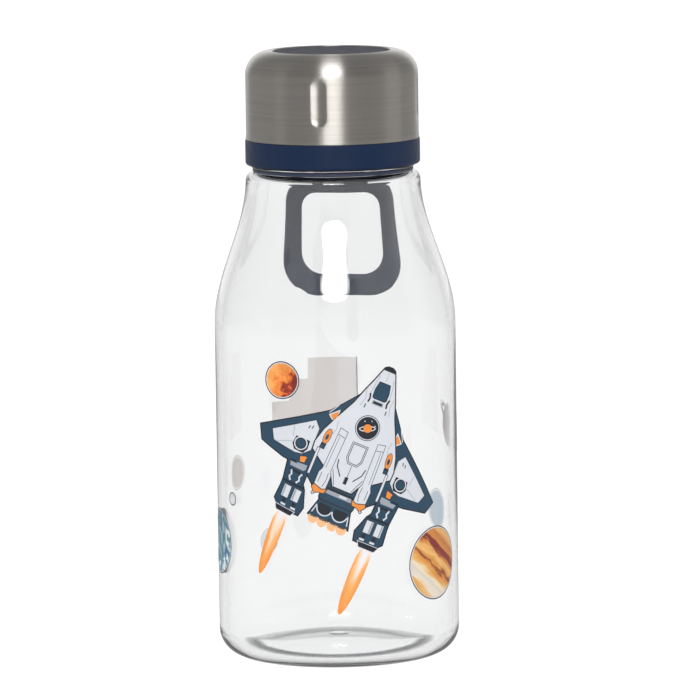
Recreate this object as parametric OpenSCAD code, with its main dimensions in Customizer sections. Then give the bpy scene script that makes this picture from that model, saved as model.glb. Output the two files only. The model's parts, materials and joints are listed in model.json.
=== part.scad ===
// Clear drinking bottle for a child, about 0.4 litre: a moulded body with a screw lid,
// a carry loop on a ring round the neck, and space artwork printed on the outside wall.
// Millimetres. Origin at the centre of the standing ring, +Z up.
// The artwork faces -Y and the carry loop hangs at +Y.

/* [Bottle body] */
// Diameter of the straight wall
body_d = 68; // [66:0.5:70]
// Thickness of the straight wall
wall = 2; // [1.8:0.1:2.2]
// Radius of the rounded corner at the base
base_corner_r = 7.5; // [6:0.5:8]
// Outer radius of the flat ring that the bottle stands on
stand_outer_r = 26.5; // [26:0.25:26.5]
// Inner radius of the flat ring that the bottle stands on
stand_inner_r = 23.5; // [22:0.5:24]
// Height of the dome pushed up under the floor
punt_h = 3.2; // [2:0.2:4]
// Height where the shoulder starts to draw in
shoulder_start_z = 94; // [90:1:98]
// Height of the flat ledge on top of the shoulder
shoulder_top_z = 137.1; // [136.8:0.1:137.1]
// Radius at the top of the shoulder
shoulder_top_r = 24.6; // [24.5:0.1:24.7]
// Radius of the rounded edge at the top of the shoulder
shoulder_edge_r = 2.4; // [2:0.1:2.4]

/* [Neck and thread] */
// Outer radius of the neck
neck_r = 20.6; // [20.4:0.1:20.6]
// Inner radius of the mouth
mouth_r = 18.4; // [18.4:0.1:18.6]
// Height of the rim of the mouth
rim_z = 157; // [156.5:0.1:157]
// Outer radius of the flange that keeps the strap ring on the neck
flange_r = 22.9; // [22.7:0.1:22.9]
// Crest radius of the screw thread on the neck
thread_crest_r = 21.9; // [21.7:0.1:21.9]
// Rise of the screw thread in one turn
thread_lead = 5; // [4.5:0.1:5]
// Number of turns of thread
thread_turns = 1.25; // [1:0.125:1.25]

/* [Lid] */
// Height of the lower edge of the lid
lid_bottom_z = 139; // [139:0.1:139.3]
// Height where the navy trim band meets the steel shell
band_top_z = 146.1; // [145.5:0.1:146.5]
// Outer radius of the navy trim band
band_r = 24.6; // [24.5:0.1:24.7]
// Height of the top of the lid
lid_top_z = 171; // [170.6:0.1:171.4]
// Outer radius of the steel shell at its lower edge
steel_r = 24.4; // [24.3:0.1:24.4]
// Radius of the rounded upper corner of the steel shell
steel_corner_r = 6.5; // [6:0.1:6.6]
// Thickness of the steel sheet
steel_t = 0.5; // [0.4:0.05:0.5]
// Outer radius of the navy disc in the lid's top
disc_r = 16.4; // [16:0.1:16.4]
// Number of pressed grip flutes round the steel shell
flute_count = 4; // [2:1:8]
// Width of a grip flute
flute_w = 4.2; // [3.6:0.1:4.4]
// Length of a grip flute
flute_len = 13; // [11:0.5:14]
// Depth of a grip flute
flute_depth = 0.35; // [0.3:0.05:0.8]
// Height of the middle of the grip flutes
flute_z = 157.8; // [156:0.2:158]
// Turn of the first grip flute from the front, towards +X
flute_phase = -4.5; // [-45:0.5:45]

/* [Carry strap] */
// Outer radius of the strap ring round the neck
ring_outer_r = 22.7; // [22.6:0.1:22.8]
// Distance of the loop's fold line from the bottle's axis
fold_y = 26; // [25.9:0.1:26.2]
// Height of the loop's fold line
fold_z = 137.6; // [137.5:0.1:137.7]
// Lean of the hanging loop, outward from straight down
loop_lean = 14; // [14:0.5:18]
// Length of the loop from its fold line to its lower edge
loop_len = 40.6; // [38:0.2:42]
// Width of the loop's stem
stem_w = 17; // [14:0.5:18]
// Thickness of the loop
loop_t = 2.2; // [1.8:0.1:2.2]

/* [Printed artwork] */
// Thickness of the ink film
ink_t = 0.15; // [0.1:0.01:0.2]
// Turn of the shuttle's middle from the front, towards +X
ship_turn = 9.6; // [0:0.2:10]
// Height of the shuttle's middle
ship_z = 55; // [50:0.5:60]
// Lean of the shuttle, clockwise from straight up
ship_lean = 24; // [15:1:30]

/* [Hidden] */
$fn = 96;

eps = 0.01;
body_r = body_d / 2;
inner_r = body_r - wall;

// Colours, as the finished bottle shows them
clear_tint = [0.93, 0.95, 0.96, 0.35];
navy = [0.14, 0.19, 0.30];
steel = [0.62, 0.61, 0.59];
silicone_white = [0.93, 0.93, 0.92];
ship_white = [0.87, 0.88, 0.91];
ship_teal = [0.16, 0.28, 0.36];
flame_orange = [0.95, 0.62, 0.32];

// Points on an arc about [cx, cy], from angle a to angle b
function arc(cx, cy, r, a, b, steps = 10) =
    [for (i = [0:steps]) let (t = a + (b - a) * i / steps) [cx + r * cos(t), cy + r * sin(t)]];

// Smooth step of 0 to 1, flat at both ends
function ease(t) = (1 - cos(180 * t)) / 2;

// Points down a drawn-in shoulder, from [r1, z1] at the top to [r2, z2] at the wall
function shoulder(r1, z1, r2, z2, steps = 20) =
    [for (i = [0:steps]) let (t = i / steps) [r1 + (r2 - r1) * ease(t), z1 + (z2 - z1) * t]];

// Points along a dome: height h at the axis, z0 at radius r, from the axis outward
function dome(r, z0, h, steps = 12) =
    [for (i = [0:steps]) let (t = i / steps) [r * t, z0 + h * (1 - t * t)]];

function reversed(list) = [for (i = [len(list) - 1:-1:0]) list[i]];

// ---------------------------------------------------------------- screw thread

thread_start_z = 145.4;
thread_root_half = 1.1;
thread_crest_half = 0.45;
thread_bite = 0.3;
thread_fade = 30;
thread_step = 10;

// One thread ridge, swept up a right-hand helix. It runs from root_r to crest_r,
// is sunk into its wall by thread_bite, and fades to nothing at both ends.
module thread_ridge(root_r, crest_r, start_z) {
    sweep = 360 * thread_turns;
    steps = sweep / thread_step;
    side = sign(crest_r - root_r);
    function height(a) = max(0.04, min(1, a / thread_fade, (sweep - a) / thread_fade));
    function section(i) =
        let (
            a = i * thread_step,
            k = height(a),
            z = start_z + thread_lead * a / 360,
            base = root_r - side * thread_bite,
            crest = root_r + (crest_r - root_r) * k,
            half = thread_crest_half + (thread_root_half - thread_crest_half) * (1 - k)
        )
        [for (q = [[base, -thread_root_half], [crest, -half], [crest, half], [base, thread_root_half]])
            [q[0] * cos(a), q[0] * sin(a), z + q[1]]];
    points = [for (i = [0:steps]) each section(i)];
    last = 4 * steps;
    // Faces are listed clockwise as seen from outside, for either sense of side
    sides = [for (i = [0:steps - 1], j = [0:3])
        let (p = 4 * i + j, q = 4 * i + (j + 1) % 4)
        each [[p, q, q + 4], [p, q + 4, p + 4]]];
    caps = [[0, 3, 2], [0, 2, 1], [last, last + 1, last + 2], [last, last + 2, last + 3]];
    faces = [for (f = concat(sides, caps)) side > 0 ? f : reversed(f)];
    polyhedron(points = points, faces = faces, convexity = 6);
}

// ---------------------------------------------------------------- bottle body

neck_ledge_t = 1.5;
inner_edge_r = 0.8;
rim_edge = 0.6;
shoulder_ease_z = shoulder_top_z - 1.5;
shoulder_edge_z = shoulder_top_z - shoulder_edge_r;

// The points of a list that lie below height z
function below(z, points) = [for (p = points) if (p[1] < z) p];

bottle_outer = concat(
    dome(stand_inner_r, 0, punt_h),
    arc(stand_outer_r, base_corner_r, base_corner_r, -90, 0),
    reversed(below(shoulder_edge_z - 1, shoulder(shoulder_top_r, shoulder_ease_z, body_r, shoulder_start_z))),
    arc(shoulder_top_r - shoulder_edge_r, shoulder_edge_z, shoulder_edge_r, 0, 90, 8)
);

flange_z = 138.15;
flange_t = 0.75;
flange_soft = flange_t / 2;
bottle_neck = [
    [neck_r, shoulder_top_z], [neck_r, flange_z], [flange_r - flange_soft, flange_z],
    [flange_r, flange_z + flange_soft], [flange_r - flange_soft, flange_z + flange_t],
    [neck_r, flange_z + 1.35], [neck_r, rim_z - rim_edge],
    [neck_r - rim_edge, rim_z], [mouth_r + rim_edge, rim_z], [mouth_r, rim_z - rim_edge]
];

inner_top_r = shoulder_top_r - wall;
inner_top_z = shoulder_top_z - neck_ledge_t;
inner_corner_r = base_corner_r - wall + 0.2;
floor_z = 2.3;

bottle_inner = concat(
    arc(mouth_r + inner_edge_r, inner_top_z + inner_edge_r, inner_edge_r, 180, 270, 6),
    arc(inner_top_r - inner_edge_r, inner_top_z - inner_edge_r, inner_edge_r, 90, 0, 6),
    below(
        inner_top_z - inner_edge_r - 0.5,
        shoulder(inner_top_r, shoulder_ease_z - 1.5, inner_r, shoulder_start_z - 1.5)
    ),
    arc(inner_r - inner_corner_r, floor_z + inner_corner_r, inner_corner_r, 0, -90),
    reversed(dome(inner_r - inner_corner_r - 0.1, floor_z, punt_h))
);

module bottle_body() {
    color(clear_tint) {
        rotate_extrude() polygon(concat(bottle_outer, bottle_neck, bottle_inner));
        thread_ridge(neck_r, thread_crest_r, thread_start_z);
    }
}

// ---------------------------------------------------------------- strap ring and carry loop

ring_inner_r = neck_r + 0.25;
ring_z = shoulder_top_z + 0.05;
ring_t = flange_z - ring_z - 0.05;
knuckle_r = loop_t / 2 + 0.1;
knuckle_gap = 0.12;
knuckle_inset = 0.4;
tab_gap = 1;
tab_root = 1.2;

module fold_cylinder(r, w) {
    translate([0, fold_y, fold_z]) rotate([0, 90, 0]) cylinder(r = r, h = w, center = true);
}

module strap_ring() {
    color(navy) difference() {
        union() {
            translate([0, 0, ring_z]) difference() {
                cylinder(r = ring_outer_r, h = ring_t);
                translate([0, 0, -eps]) cylinder(r = ring_inner_r, h = ring_t + 2 * eps);
            }
            translate([-stem_w / 2, ring_outer_r - tab_root, ring_z])
                cube([stem_w, fold_y - tab_gap - ring_outer_r + tab_root, ring_t]);
        }
        fold_cylinder(knuckle_r + knuckle_gap, stem_w + 2);
    }
}

loop_top_s = 7.3;
loop_top_half = 17.6;
loop_top_r = 6;
loop_low_half = 18.5;
loop_low_r = 10.8;
gap_top_s = 10.7;
gap_low_s = loop_len - 6.2;
gap_top_half = 12.2;
gap_top_r = 4.5;
gap_low_half = 12.5;
gap_low_r = 6.5;

// Rounded outline with its own half width and corner radius at the top and at the bottom
module loop_outline(top_s, top_half, top_r, low_s, low_half, low_r) {
    hull() for (side = [-1, 1]) {
        translate([side * (top_half - top_r), -top_s - top_r]) circle(r = top_r, $fn = 32);
        translate([side * (low_half - low_r), -low_s + low_r]) circle(r = low_r, $fn = 48);
    }
}

module carry_loop() {
    color(navy) {
        translate([0, fold_y, fold_z]) rotate([90 + loop_lean, 0, 0])
            translate([0, 0, -loop_t / 2]) linear_extrude(height = loop_t) difference() {
                union() {
                    loop_outline(loop_top_s, loop_top_half, loop_top_r, loop_len, loop_low_half, loop_low_r);
                    translate([-stem_w / 2, -loop_top_s - 1]) square([stem_w, loop_top_s + 1]);
                }
                loop_outline(gap_top_s, gap_top_half, gap_top_r, gap_low_s, gap_low_half, gap_low_r);
            }
        fold_cylinder(knuckle_r, stem_w - 2 * knuckle_inset);
    }
}

// ---------------------------------------------------------------- lid

bore_r = thread_crest_r + 0.4;
seat_z = rim_z + 1.5;
plate_t = 1.8;
skirt_r = steel_r - steel_t - 0.1;
skirt_top_z = 163.5;
plug_r = mouth_r - 0.2;
plug_t = 1.4;
plug_bottom_z = 152.5;
ledge_z = lid_top_z - 1.6;
ledge_hole_r = 12.5;
boss_inner_r = 13.6;
boss_t = 1.4;
rib_count = 8;
rib_t = 1.2;
rib_top_z = 166;
plate_top_z = seat_z + plate_t;

module lid_seal() {
    color(silicone_white) translate([0, 0, rim_z]) difference() {
        cylinder(r = thread_crest_r, h = seat_z - rim_z);
        translate([0, 0, -eps]) cylinder(r = mouth_r + 0.2, h = seat_z - rim_z + 2 * eps);
    }
}

// A round-bottomed flute with its rounded ends, as a lathed pill: width and depth at the
// surface set the pill's radius, and grow makes it larger all round.
flute_pill_r = (pow(flute_w / 2, 2) + pow(flute_depth, 2)) / (2 * flute_depth);
flute_straight = flute_len - flute_w;
steel_top_r = steel_r - 0.1;

module flute_pill(grow) {
    r = flute_pill_r + grow;
    half = flute_straight / 2;
    translate([0, -(steel_top_r + 0.05 - flute_depth + flute_pill_r), flute_z])
        rotate_extrude($fn = 48) polygon(concat(arc(0, half, r, 90, 0), arc(0, -half, r, 0, -90)));
}

module at_flutes() {
    for (i = [0:flute_count - 1]) rotate([0, 0, flute_phase + i * 360 / flute_count]) children();
}

liner_section = [
    [bore_r + 0.3, lid_bottom_z], [band_r - 0.8, lid_bottom_z], [band_r - 0.25, lid_bottom_z + 0.25],
    [band_r, lid_bottom_z + 0.9], [band_r, band_top_z - 0.1], [band_r - 0.1, band_top_z],
    [skirt_r, band_top_z], [skirt_r, skirt_top_z], [skirt_r - 1.2, skirt_top_z],
    [skirt_r - 1.2, plate_top_z], [0, plate_top_z], [0, seat_z], [plug_r - plug_t, seat_z],
    [plug_r - plug_t, plug_bottom_z], [plug_r - 0.4, plug_bottom_z], [plug_r, plug_bottom_z + 1.2],
    [plug_r, seat_z], [bore_r, seat_z], [bore_r, lid_bottom_z + 2.2], [bore_r + 0.3, lid_bottom_z + 1.9]
];

module lid_liner() {
    color(navy) {
        difference() {
            rotate_extrude() polygon(liner_section);
            at_flutes() flute_pill(steel_t + 0.05);
        }
        translate([0, 0, plate_top_z - eps]) difference() {
            cylinder(r = boss_inner_r + boss_t, h = ledge_z - steel_t - plate_top_z + eps);
            translate([0, 0, -eps]) cylinder(r = boss_inner_r, h = lid_top_z - plate_top_z);
        }
        for (i = [0:rib_count - 1]) rotate([0, 0, (i + 0.5) * 360 / rib_count])
            translate([boss_inner_r + boss_t / 2, -rib_t / 2, plate_top_z - eps])
                cube([skirt_r - boss_inner_r - boss_t / 2 - 1.4, rib_t, rib_top_z - plate_top_z]);
        thread_ridge(bore_r, bore_r - (thread_crest_r - neck_r), thread_start_z - thread_lead / 2);
    }
}

corner_z = lid_top_z - steel_corner_r;
lip_r = disc_r + 0.2;
steel_section = concat(
    [[steel_r - steel_t, band_top_z], [steel_r, band_top_z]],
    arc(steel_top_r - steel_corner_r, corner_z, steel_corner_r, 0, 90, 12),
    [
        [lip_r + steel_t, lid_top_z], [lip_r, lid_top_z - steel_t], [lip_r, ledge_z],
        [ledge_hole_r, ledge_z], [ledge_hole_r, ledge_z - steel_t], [lip_r + steel_t, ledge_z - steel_t],
        [lip_r + steel_t, lid_top_z - steel_t]
    ],
    arc(steel_top_r - steel_corner_r, corner_z, steel_corner_r - steel_t, 90, 0, 12)
);

module steel_cap() {
    color(steel) difference() {
        union() {
            rotate_extrude() polygon(steel_section);
            intersection() {
                at_flutes() flute_pill(steel_t - 0.05);
                translate([0, 0, band_top_z + 2])
                    cylinder(r = steel_r - steel_t / 2, h = corner_z - band_top_z - 2);
            }
        }
        at_flutes() flute_pill(0);
    }
}

leg_count = 6;
leg_w = 4;
leg_outer_r = ledge_hole_r - 0.2;
leg_t = 1.4;
leg_bottom_z = 165.5;
barb = 0.6;

// Snap leg: it passes down the steel ledge's hole, and its barb hooks under the ledge
module snap_leg() {
    rotate([90, 0, 0]) translate([0, 0, -leg_w / 2]) linear_extrude(height = leg_w) polygon([
        [leg_outer_r - leg_t, ledge_z + 0.5], [leg_outer_r, ledge_z + 0.5],
        [leg_outer_r, ledge_z - steel_t - 0.1], [leg_outer_r + barb, ledge_z - steel_t - 0.3],
        [leg_outer_r - 0.3, leg_bottom_z], [leg_outer_r - leg_t, leg_bottom_z]
    ]);
}

module top_disc() {
    color(navy) {
        translate([0, 0, ledge_z]) rotate_extrude() polygon([
            [0, 0], [disc_r, 0], [disc_r, 0.9], [disc_r - 0.15, 1.2], [disc_r - 0.5, 1.35], [0, 1.5]
        ]);
        for (i = [0:leg_count - 1]) rotate([0, 0, i * 360 / leg_count]) snap_leg();
    }
}

// ---------------------------------------------------------------- printed artwork

// Outlines are drawn flat, as on the unrolled wall: [distance round the wall, height].
film_r = body_r + 0.02;

// Places on the flat drawing carried round the wall and seen square on
function wrapped(points) = [for (p = points) [film_r * sin(p[0] / film_r * 180 / PI), p[1]]];

// Ink film where the flat outlines (children, already wrapped) reach the wall
module film(turn, z) {
    intersection() {
        difference() {
            cylinder(r = film_r + ink_t, h = shoulder_start_z);
            translate([0, 0, -eps]) cylinder(r = film_r, h = shoulder_start_z + 2 * eps);
        }
        rotate([0, 0, turn]) translate([0, 0, z]) rotate([90, 0, 0])
            linear_extrude(height = body_r + 2) children();
    }
}

module wrapped_disc(r) {
    polygon(wrapped([for (i = [0:47]) [r * cos(i * 7.5), r * sin(i * 7.5)]]));
}

module planet(turn, z, r, shade) {
    color(shade) film(turn, z) wrapped_disc(r);
}

module print_red_planet() { planet(-21.8, 81.6, 5.3, [0.86, 0.45, 0.20]); }
module print_banded_planet() { planet(57.5, 28.2, 10.4, [0.82, 0.58, 0.38]); }
module print_blue_planet() { planet(-73, 33.3, 9.3, [0.30, 0.48, 0.62]); }
module print_moon() { planet(-55.5, 46.5, 1.9, [0.86, 0.86, 0.86]); }
module print_grey_planet() { planet(-111, 49.5, 5, [0.84, 0.82, 0.81]); }
module print_pale_planet() { planet(121, 38.2, 5.9, [0.72, 0.77, 0.81]); }
module print_small_planet() { planet(-137.5, 27.9, 3.5, [0.93, 0.93, 0.93]); }

ringed_r = 6.2;
ringed_ring = [9.6, 2.6];
module print_ringed_planet() {
    color([0.62, 0.55, 0.45]) film(102.5, 63.7) union() {
        wrapped_disc(ringed_r);
        polygon(wrapped([for (i = [0:47]) let (t = i * 7.5)
            [ringed_ring[0] * cos(t) * cos(40) - ringed_ring[1] * sin(t) * sin(40),
             ringed_ring[0] * cos(t) * sin(40) + ringed_ring[1] * sin(t) * cos(40)]]));
    }
}

panel_turn = 196.5;
panel_half = 13.4;
panel_low_z = 56;
panel_top_z = 80;
panel_step = 6;
module print_back_panel() {
    color([0.89, 0.87, 0.86]) film(panel_turn, 0) polygon(wrapped([
        [-panel_half, panel_low_z], [panel_half, panel_low_z],
        [panel_half, panel_top_z - 2 * panel_step], [panel_half - panel_step, panel_top_z - 2 * panel_step],
        [panel_half - panel_step, panel_top_z - panel_step],
        [panel_half - 2 * panel_step, panel_top_z - panel_step],
        [panel_half - 2 * panel_step, panel_top_z], [-panel_half, panel_top_z]
    ]));
}

// The shuttle is drawn nose up, [distance to its right, distance ahead of its middle]
function mirrored(half) = concat(half, [for (p = reversed(half)) [-p[0], p[1]]]);
function leaned(points) = [for (p = points)
    [p[0] * cos(ship_lean) + p[1] * sin(ship_lean), p[1] * cos(ship_lean) - p[0] * sin(ship_lean)]];
module ship_shape(points) { polygon(wrapped(leaned(points))); }
module both_sides(points) {
    ship_shape(points);
    ship_shape(reversed([for (p = points) [-p[0], p[1]]]));
}

fuselage = mirrored([
    [0.7, 32.4], [1.6, 31.9], [2.4, 30.1], [3.1, 28.3], [4.8, 24.2], [6.4, 19.8], [8.6, 15.3], [11.1, 9.7],
    [12.1, 5.7], [11.9, 3.5], [7.5, 0.5], [5, 0], [2.8, -4]
]);
nacelle_block = mirrored([[11, 4.2], [10.9, -3.6], [7.2, -6.6], [4, -6.4], [4, 0]]);
nacelle = [
    [4.7, 11.4], [6.9, 11.8], [7.2, -0.4], [7.8, -1.8], [7.7, -5.4], [4.3, -5.6], [4.3, -1.8], [4.9, -0.4]
];
nozzle_block = mirrored([[4.4, -2], [5, -6.4], [5, -8], [4.6, -9], [5.9, -13.8]]);
strut = [[10.3, 4.2], [10.8, 4.2], [10.7, -3.3], [10.2, -3.3]];
wing = [[5.4, 22.9], [11.4, 15.1], [29, 2.6], [27, -1], [18.8, -2.3], [10.8, -2.3], [10.8, 2]];
wing_panel = [
    [24.9, 3.3], [14.1, 11.1], [12.4, 9.2], [12.3, 2.7], [14.2, 0.8], [16.2, 0.3], [23.4, 0.7]
];
booster = [
    [10.8, -1.8], [17.3, -1.8], [16.4, -8], [16.4, -9.9], [16.8, -14.1], [15, -15.9],
    [8.6, -15.7], [8, -13.2], [9.7, -8.4], [10.6, -7.2]
];
tank_outer = [[13.2, -9], [15.4, -9], [15.4, -12.4], [13.2, -12.4]];
tank_inner = [[10, -9], [12.2, -9], [12.2, -12.4], [10, -12.4]];
cockpit = mirrored([[1.6, 27.7], [2.1, 25.4], [2, 23.4], [1.6, 23.1]]);
badge_r = 3.5;
badge_ahead = 14.6;

// A long flame below each booster: half its outline, from its nozzle to its tip
flame_x = 13.1;
flame_half = [
    [1.5, -17.2], [2, -19.5], [2.1, -23.5], [1.9, -28], [1.6, -31.5], [1.15, -34.2], [0.6, -36], [0.2, -36.5]
];
long_flame = [for (p = mirrored(flame_half)) [p[0] + flame_x, p[1]]];
short_flames = mirrored([[5.4, -14.1], [5, -15.6], [3.6, -14.8], [2.3, -16.1], [0.9, -14.9]]);

module badge() {
    ship_shape([for (i = [0:35]) [badge_r * cos(i * 10), badge_ahead + badge_r * sin(i * 10)]]);
}

module ship_whites() {
    difference() {
        union() {
            ship_shape(fuselage);
            both_sides(nacelle);
            both_sides(strut);
            both_sides(wing_panel);
            both_sides(tank_outer);
            both_sides(tank_inner);
        }
        ship_shape(cockpit);
        badge();
    }
}

module print_ship_hull() { color(ship_white) film(ship_turn, ship_z) ship_whites(); }

module print_ship_trim() {
    color(ship_teal) film(ship_turn, ship_z) difference() {
        union() {
            ship_shape(fuselage);
            both_sides(wing);
            both_sides(booster);
            ship_shape(nacelle_block);
            ship_shape(nozzle_block);
        }
        ship_whites();
    }
}

module print_ship_flames() {
    color(flame_orange) film(ship_turn, ship_z) union() {
        both_sides(long_flame);
        ship_shape(short_flames);
    }
}

bottle_body();
strap_ring();
carry_loop();
lid_seal();
lid_liner();
steel_cap();
top_disc();
print_ship_hull();
print_ship_trim();
print_ship_flames();
print_red_planet();
print_banded_planet();
print_blue_planet();
print_moon();
print_ringed_planet();
print_grey_planet();
print_pale_planet();
print_small_planet();
print_back_panel();
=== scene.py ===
import json
import math

import bmesh
import bpy
from mathutils import Euler, Matrix, Vector


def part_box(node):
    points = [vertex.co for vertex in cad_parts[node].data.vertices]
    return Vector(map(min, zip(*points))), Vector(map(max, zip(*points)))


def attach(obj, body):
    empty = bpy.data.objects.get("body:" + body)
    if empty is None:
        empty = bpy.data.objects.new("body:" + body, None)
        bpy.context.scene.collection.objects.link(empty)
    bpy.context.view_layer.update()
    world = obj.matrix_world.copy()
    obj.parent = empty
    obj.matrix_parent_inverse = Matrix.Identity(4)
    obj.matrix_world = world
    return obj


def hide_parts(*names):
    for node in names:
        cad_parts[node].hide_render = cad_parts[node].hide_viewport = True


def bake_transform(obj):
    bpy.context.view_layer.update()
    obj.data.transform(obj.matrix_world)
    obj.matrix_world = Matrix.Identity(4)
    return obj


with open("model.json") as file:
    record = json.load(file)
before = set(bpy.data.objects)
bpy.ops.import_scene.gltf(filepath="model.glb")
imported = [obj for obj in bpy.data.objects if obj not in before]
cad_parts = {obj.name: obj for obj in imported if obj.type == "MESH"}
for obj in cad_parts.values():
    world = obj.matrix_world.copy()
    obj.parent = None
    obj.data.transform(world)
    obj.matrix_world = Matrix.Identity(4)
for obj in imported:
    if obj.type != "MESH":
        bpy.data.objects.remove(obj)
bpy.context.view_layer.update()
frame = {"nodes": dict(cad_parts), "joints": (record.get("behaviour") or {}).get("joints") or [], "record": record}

# The looks of a clear drinking bottle: body, screw lid, carry strap and printed artwork.
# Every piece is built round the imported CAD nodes, in metres, with +Z up and the front at -Y.

MM = 0.001
TAU = 2 * math.pi

# ------------------------------------------------------------------ sizes from the frame

BODY_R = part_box("bottle_body")[1].x
RIM_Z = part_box("bottle_body")[1].z
STEEL_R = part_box("steel_cap")[1].x
BAND_TOP_Z, LID_TOP_Z = (corner.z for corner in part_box("steel_cap"))
BAND_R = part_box("lid_liner")[1].x
LID_BOTTOM_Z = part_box("lid_liner")[0].z
DISC_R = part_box("top_disc")[1].x
DISC_TOP_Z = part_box("top_disc")[1].z
FOLD = Vector(next(j["pos_m"] for j in frame["joints"] if j["name"] == "loop_swing"))
TURN_LEAD = TAU * next(c["ratio"] for c in frame["record"]["behaviour"]["couplings"])

# ------------------------------------------------------------------ outlines


def arc(cx, cz, r, start, end, steps=12):
    """Points on an arc about (cx, cz), from angle start to angle end, in degrees."""
    turns = [math.radians(start + (end - start) * i / steps) for i in range(steps + 1)]
    return [(cx + r * math.cos(t), cz + r * math.sin(t)) for t in turns]


def straight(a, b, steps):
    """Points from a to b, both included, closer together near the ends."""
    shares = [(1 - math.cos(math.pi * i / steps)) / 2 for i in range(steps + 1)]
    return [(a[0] + (b[0] - a[0]) * t, a[1] + (b[1] - a[1]) * t) for t in shares]


def drawn_in(r1, z1, r2, z2, steps):
    """A drawn-in shoulder: a half cosine wave from (r1, z1) to (r2, z2), level with the wall at both ends."""
    shares = [i / steps for i in range(steps + 1)]
    return [(r1 + (r2 - r1) * (1 - math.cos(math.pi * t)) / 2, z1 + (z2 - z1) * t) for t in shares]


def dome(r, z0, height, start_r=0.0, steps=16):
    """A shallow dome from start_r outward to radius r, z0 high at its edge and height more at the axis."""
    radii = [start_r + (r - start_r) * i / steps for i in range(steps + 1)]
    return [(x, z0 + height * (1 - (x / r) ** 2)) for x in radii]


def without_repeats(points, least=1e-6):
    kept = [points[0]]
    for p in points[1:]:
        if math.dist(p, kept[-1]) > least:
            kept.append(p)
    return kept


# ------------------------------------------------------------------ mesh building


def even_angles(count):
    return [TAU * i / count for i in range(count)]


def lathe(bm, profile, angles, reshape=None):
    """Turns a profile of (radius, height) round Z. It runs from axis to axis, or is closed into a ring."""
    profile = without_repeats(profile)
    rows = []
    for r, z in profile:
        if r < 1e-6:
            rows.append([bm.verts.new((0, 0, z))])
            continue
        turned = [(reshape(r, z, a) if reshape else r) for a in angles]
        rows.append([bm.verts.new((x * math.cos(a), x * math.sin(a), z)) for x, a in zip(turned, angles)])
    pairs = list(zip(rows, rows[1:]))
    if len(rows[0]) > 1:
        pairs.append((rows[-1], rows[0]))
    for low, high in pairs:
        for i in range(len(angles)):
            j = (i + 1) % len(angles)
            corners = [low[i % len(low)], low[j % len(low)], high[j % len(high)], high[i % len(high)]]
            bm.faces.new(list(dict.fromkeys(corners)))


def bar_box(bm, low, high, turn=0.0):
    """A box between two corners, turned about Z."""
    spin = Matrix.Rotation(turn, 4, "Z")
    middle = (Vector(low) + Vector(high)) / 2
    size = Vector(high) - Vector(low)
    bmesh.ops.create_cube(bm, size=1, matrix=spin @ Matrix.Translation(middle) @ Matrix.Diagonal((*size, 1)))


def loft(bm, sections, closed):
    """Skins sections, each a ring of points: closed joins the last to the first, or the ends are capped."""
    rows = [[bm.verts.new(p) for p in section] for section in sections]
    pairs = list(zip(rows, rows[1:])) + ([(rows[-1], rows[0])] if closed else [])
    for low, high in pairs:
        for i in range(len(low)):
            j = (i + 1) % len(low)
            bm.faces.new((low[i], low[j], high[j], high[i]))
    if not closed:
        bm.faces.new(rows[0])
        bm.faces.new(rows[-1])


def linked(name, bm, materials):
    """Turns bm into an object in the scene."""
    mesh = bpy.data.meshes.new(name)
    bm.to_mesh(mesh)
    bm.free()
    for material in materials:
        mesh.materials.append(material)
    obj = bpy.data.objects.new(name, mesh)
    bpy.context.scene.collection.objects.link(obj)
    return obj


def finish_mesh(name, bm, materials, sharp_deg=None):
    """Turns bm into an object with outward normals, smooth but for edges sharper than sharp_deg."""
    bmesh.ops.recalc_face_normals(bm, faces=bm.faces)
    obj = linked(name, bm, materials)
    obj.data.polygons.foreach_set("use_smooth", [True] * len(obj.data.polygons))
    if sharp_deg:
        obj.data.set_sharp_from_angle(angle=math.radians(sharp_deg))
    return obj


def apply_modifiers(obj):
    """Replaces the object's mesh with what its modifiers make of it."""
    graph = bpy.context.evaluated_depsgraph_get()
    made = bpy.data.meshes.new_from_object(obj.evaluated_get(graph))
    obj.modifiers.clear()
    obj.data = made


# ------------------------------------------------------------------ material building


def srgb(red, green, blue):
    """A display colour, 0 to 255 a channel, as the linear colour that shaders take."""
    linear = []
    for channel in (red, green, blue):
        c = channel / 255
        linear.append(c / 12.92 if c <= 0.04045 else ((c + 0.055) / 1.055) ** 2.4)
    return (*linear, 1.0)


def new_material(name, **uniform):
    """A material with a Principled shader whose named sockets are set directly."""
    material = bpy.data.materials.new(name)
    material.use_nodes = True
    tree = material.node_tree
    shader = tree.nodes["Principled BSDF"]
    for socket, value in uniform.items():
        shader.inputs[socket.replace("_", " ")].default_value = value
    return material, tree, shader


def add(tree, kind, inputs=None, output=0, **settings):
    """Adds a node, sets or links its inputs, and returns one of its outputs."""
    made = tree.nodes.new("ShaderNode" + kind)
    for key, value in settings.items():
        setattr(made, key, value)
    for key, value in (inputs or {}).items():
        if isinstance(value, bpy.types.NodeSocket):
            tree.links.new(value, made.inputs[key])
        else:
            made.inputs[key].default_value = value
    return made.outputs[output]


def object_place(tree, scale=(1, 1, 1)):
    place = add(tree, "TexCoord", output="Object")
    return add(tree, "Mapping", {"Vector": place, "Scale": scale})


def noise(tree, place, scale, detail=3.0, roughness=0.5, distortion=0.0):
    inputs = {"Vector": place, "Scale": scale, "Detail": detail, "Roughness": roughness}
    inputs["Distortion"] = distortion
    return add(tree, "TexNoise", inputs)


def calc(tree, operation, a, b=0.0):
    return add(tree, "Math", {0: a, 1: b}, operation=operation)


def dot(tree, place, axis):
    return add(tree, "VectorMath", {0: place, 1: axis}, output="Value", operation="DOT_PRODUCT")


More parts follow.
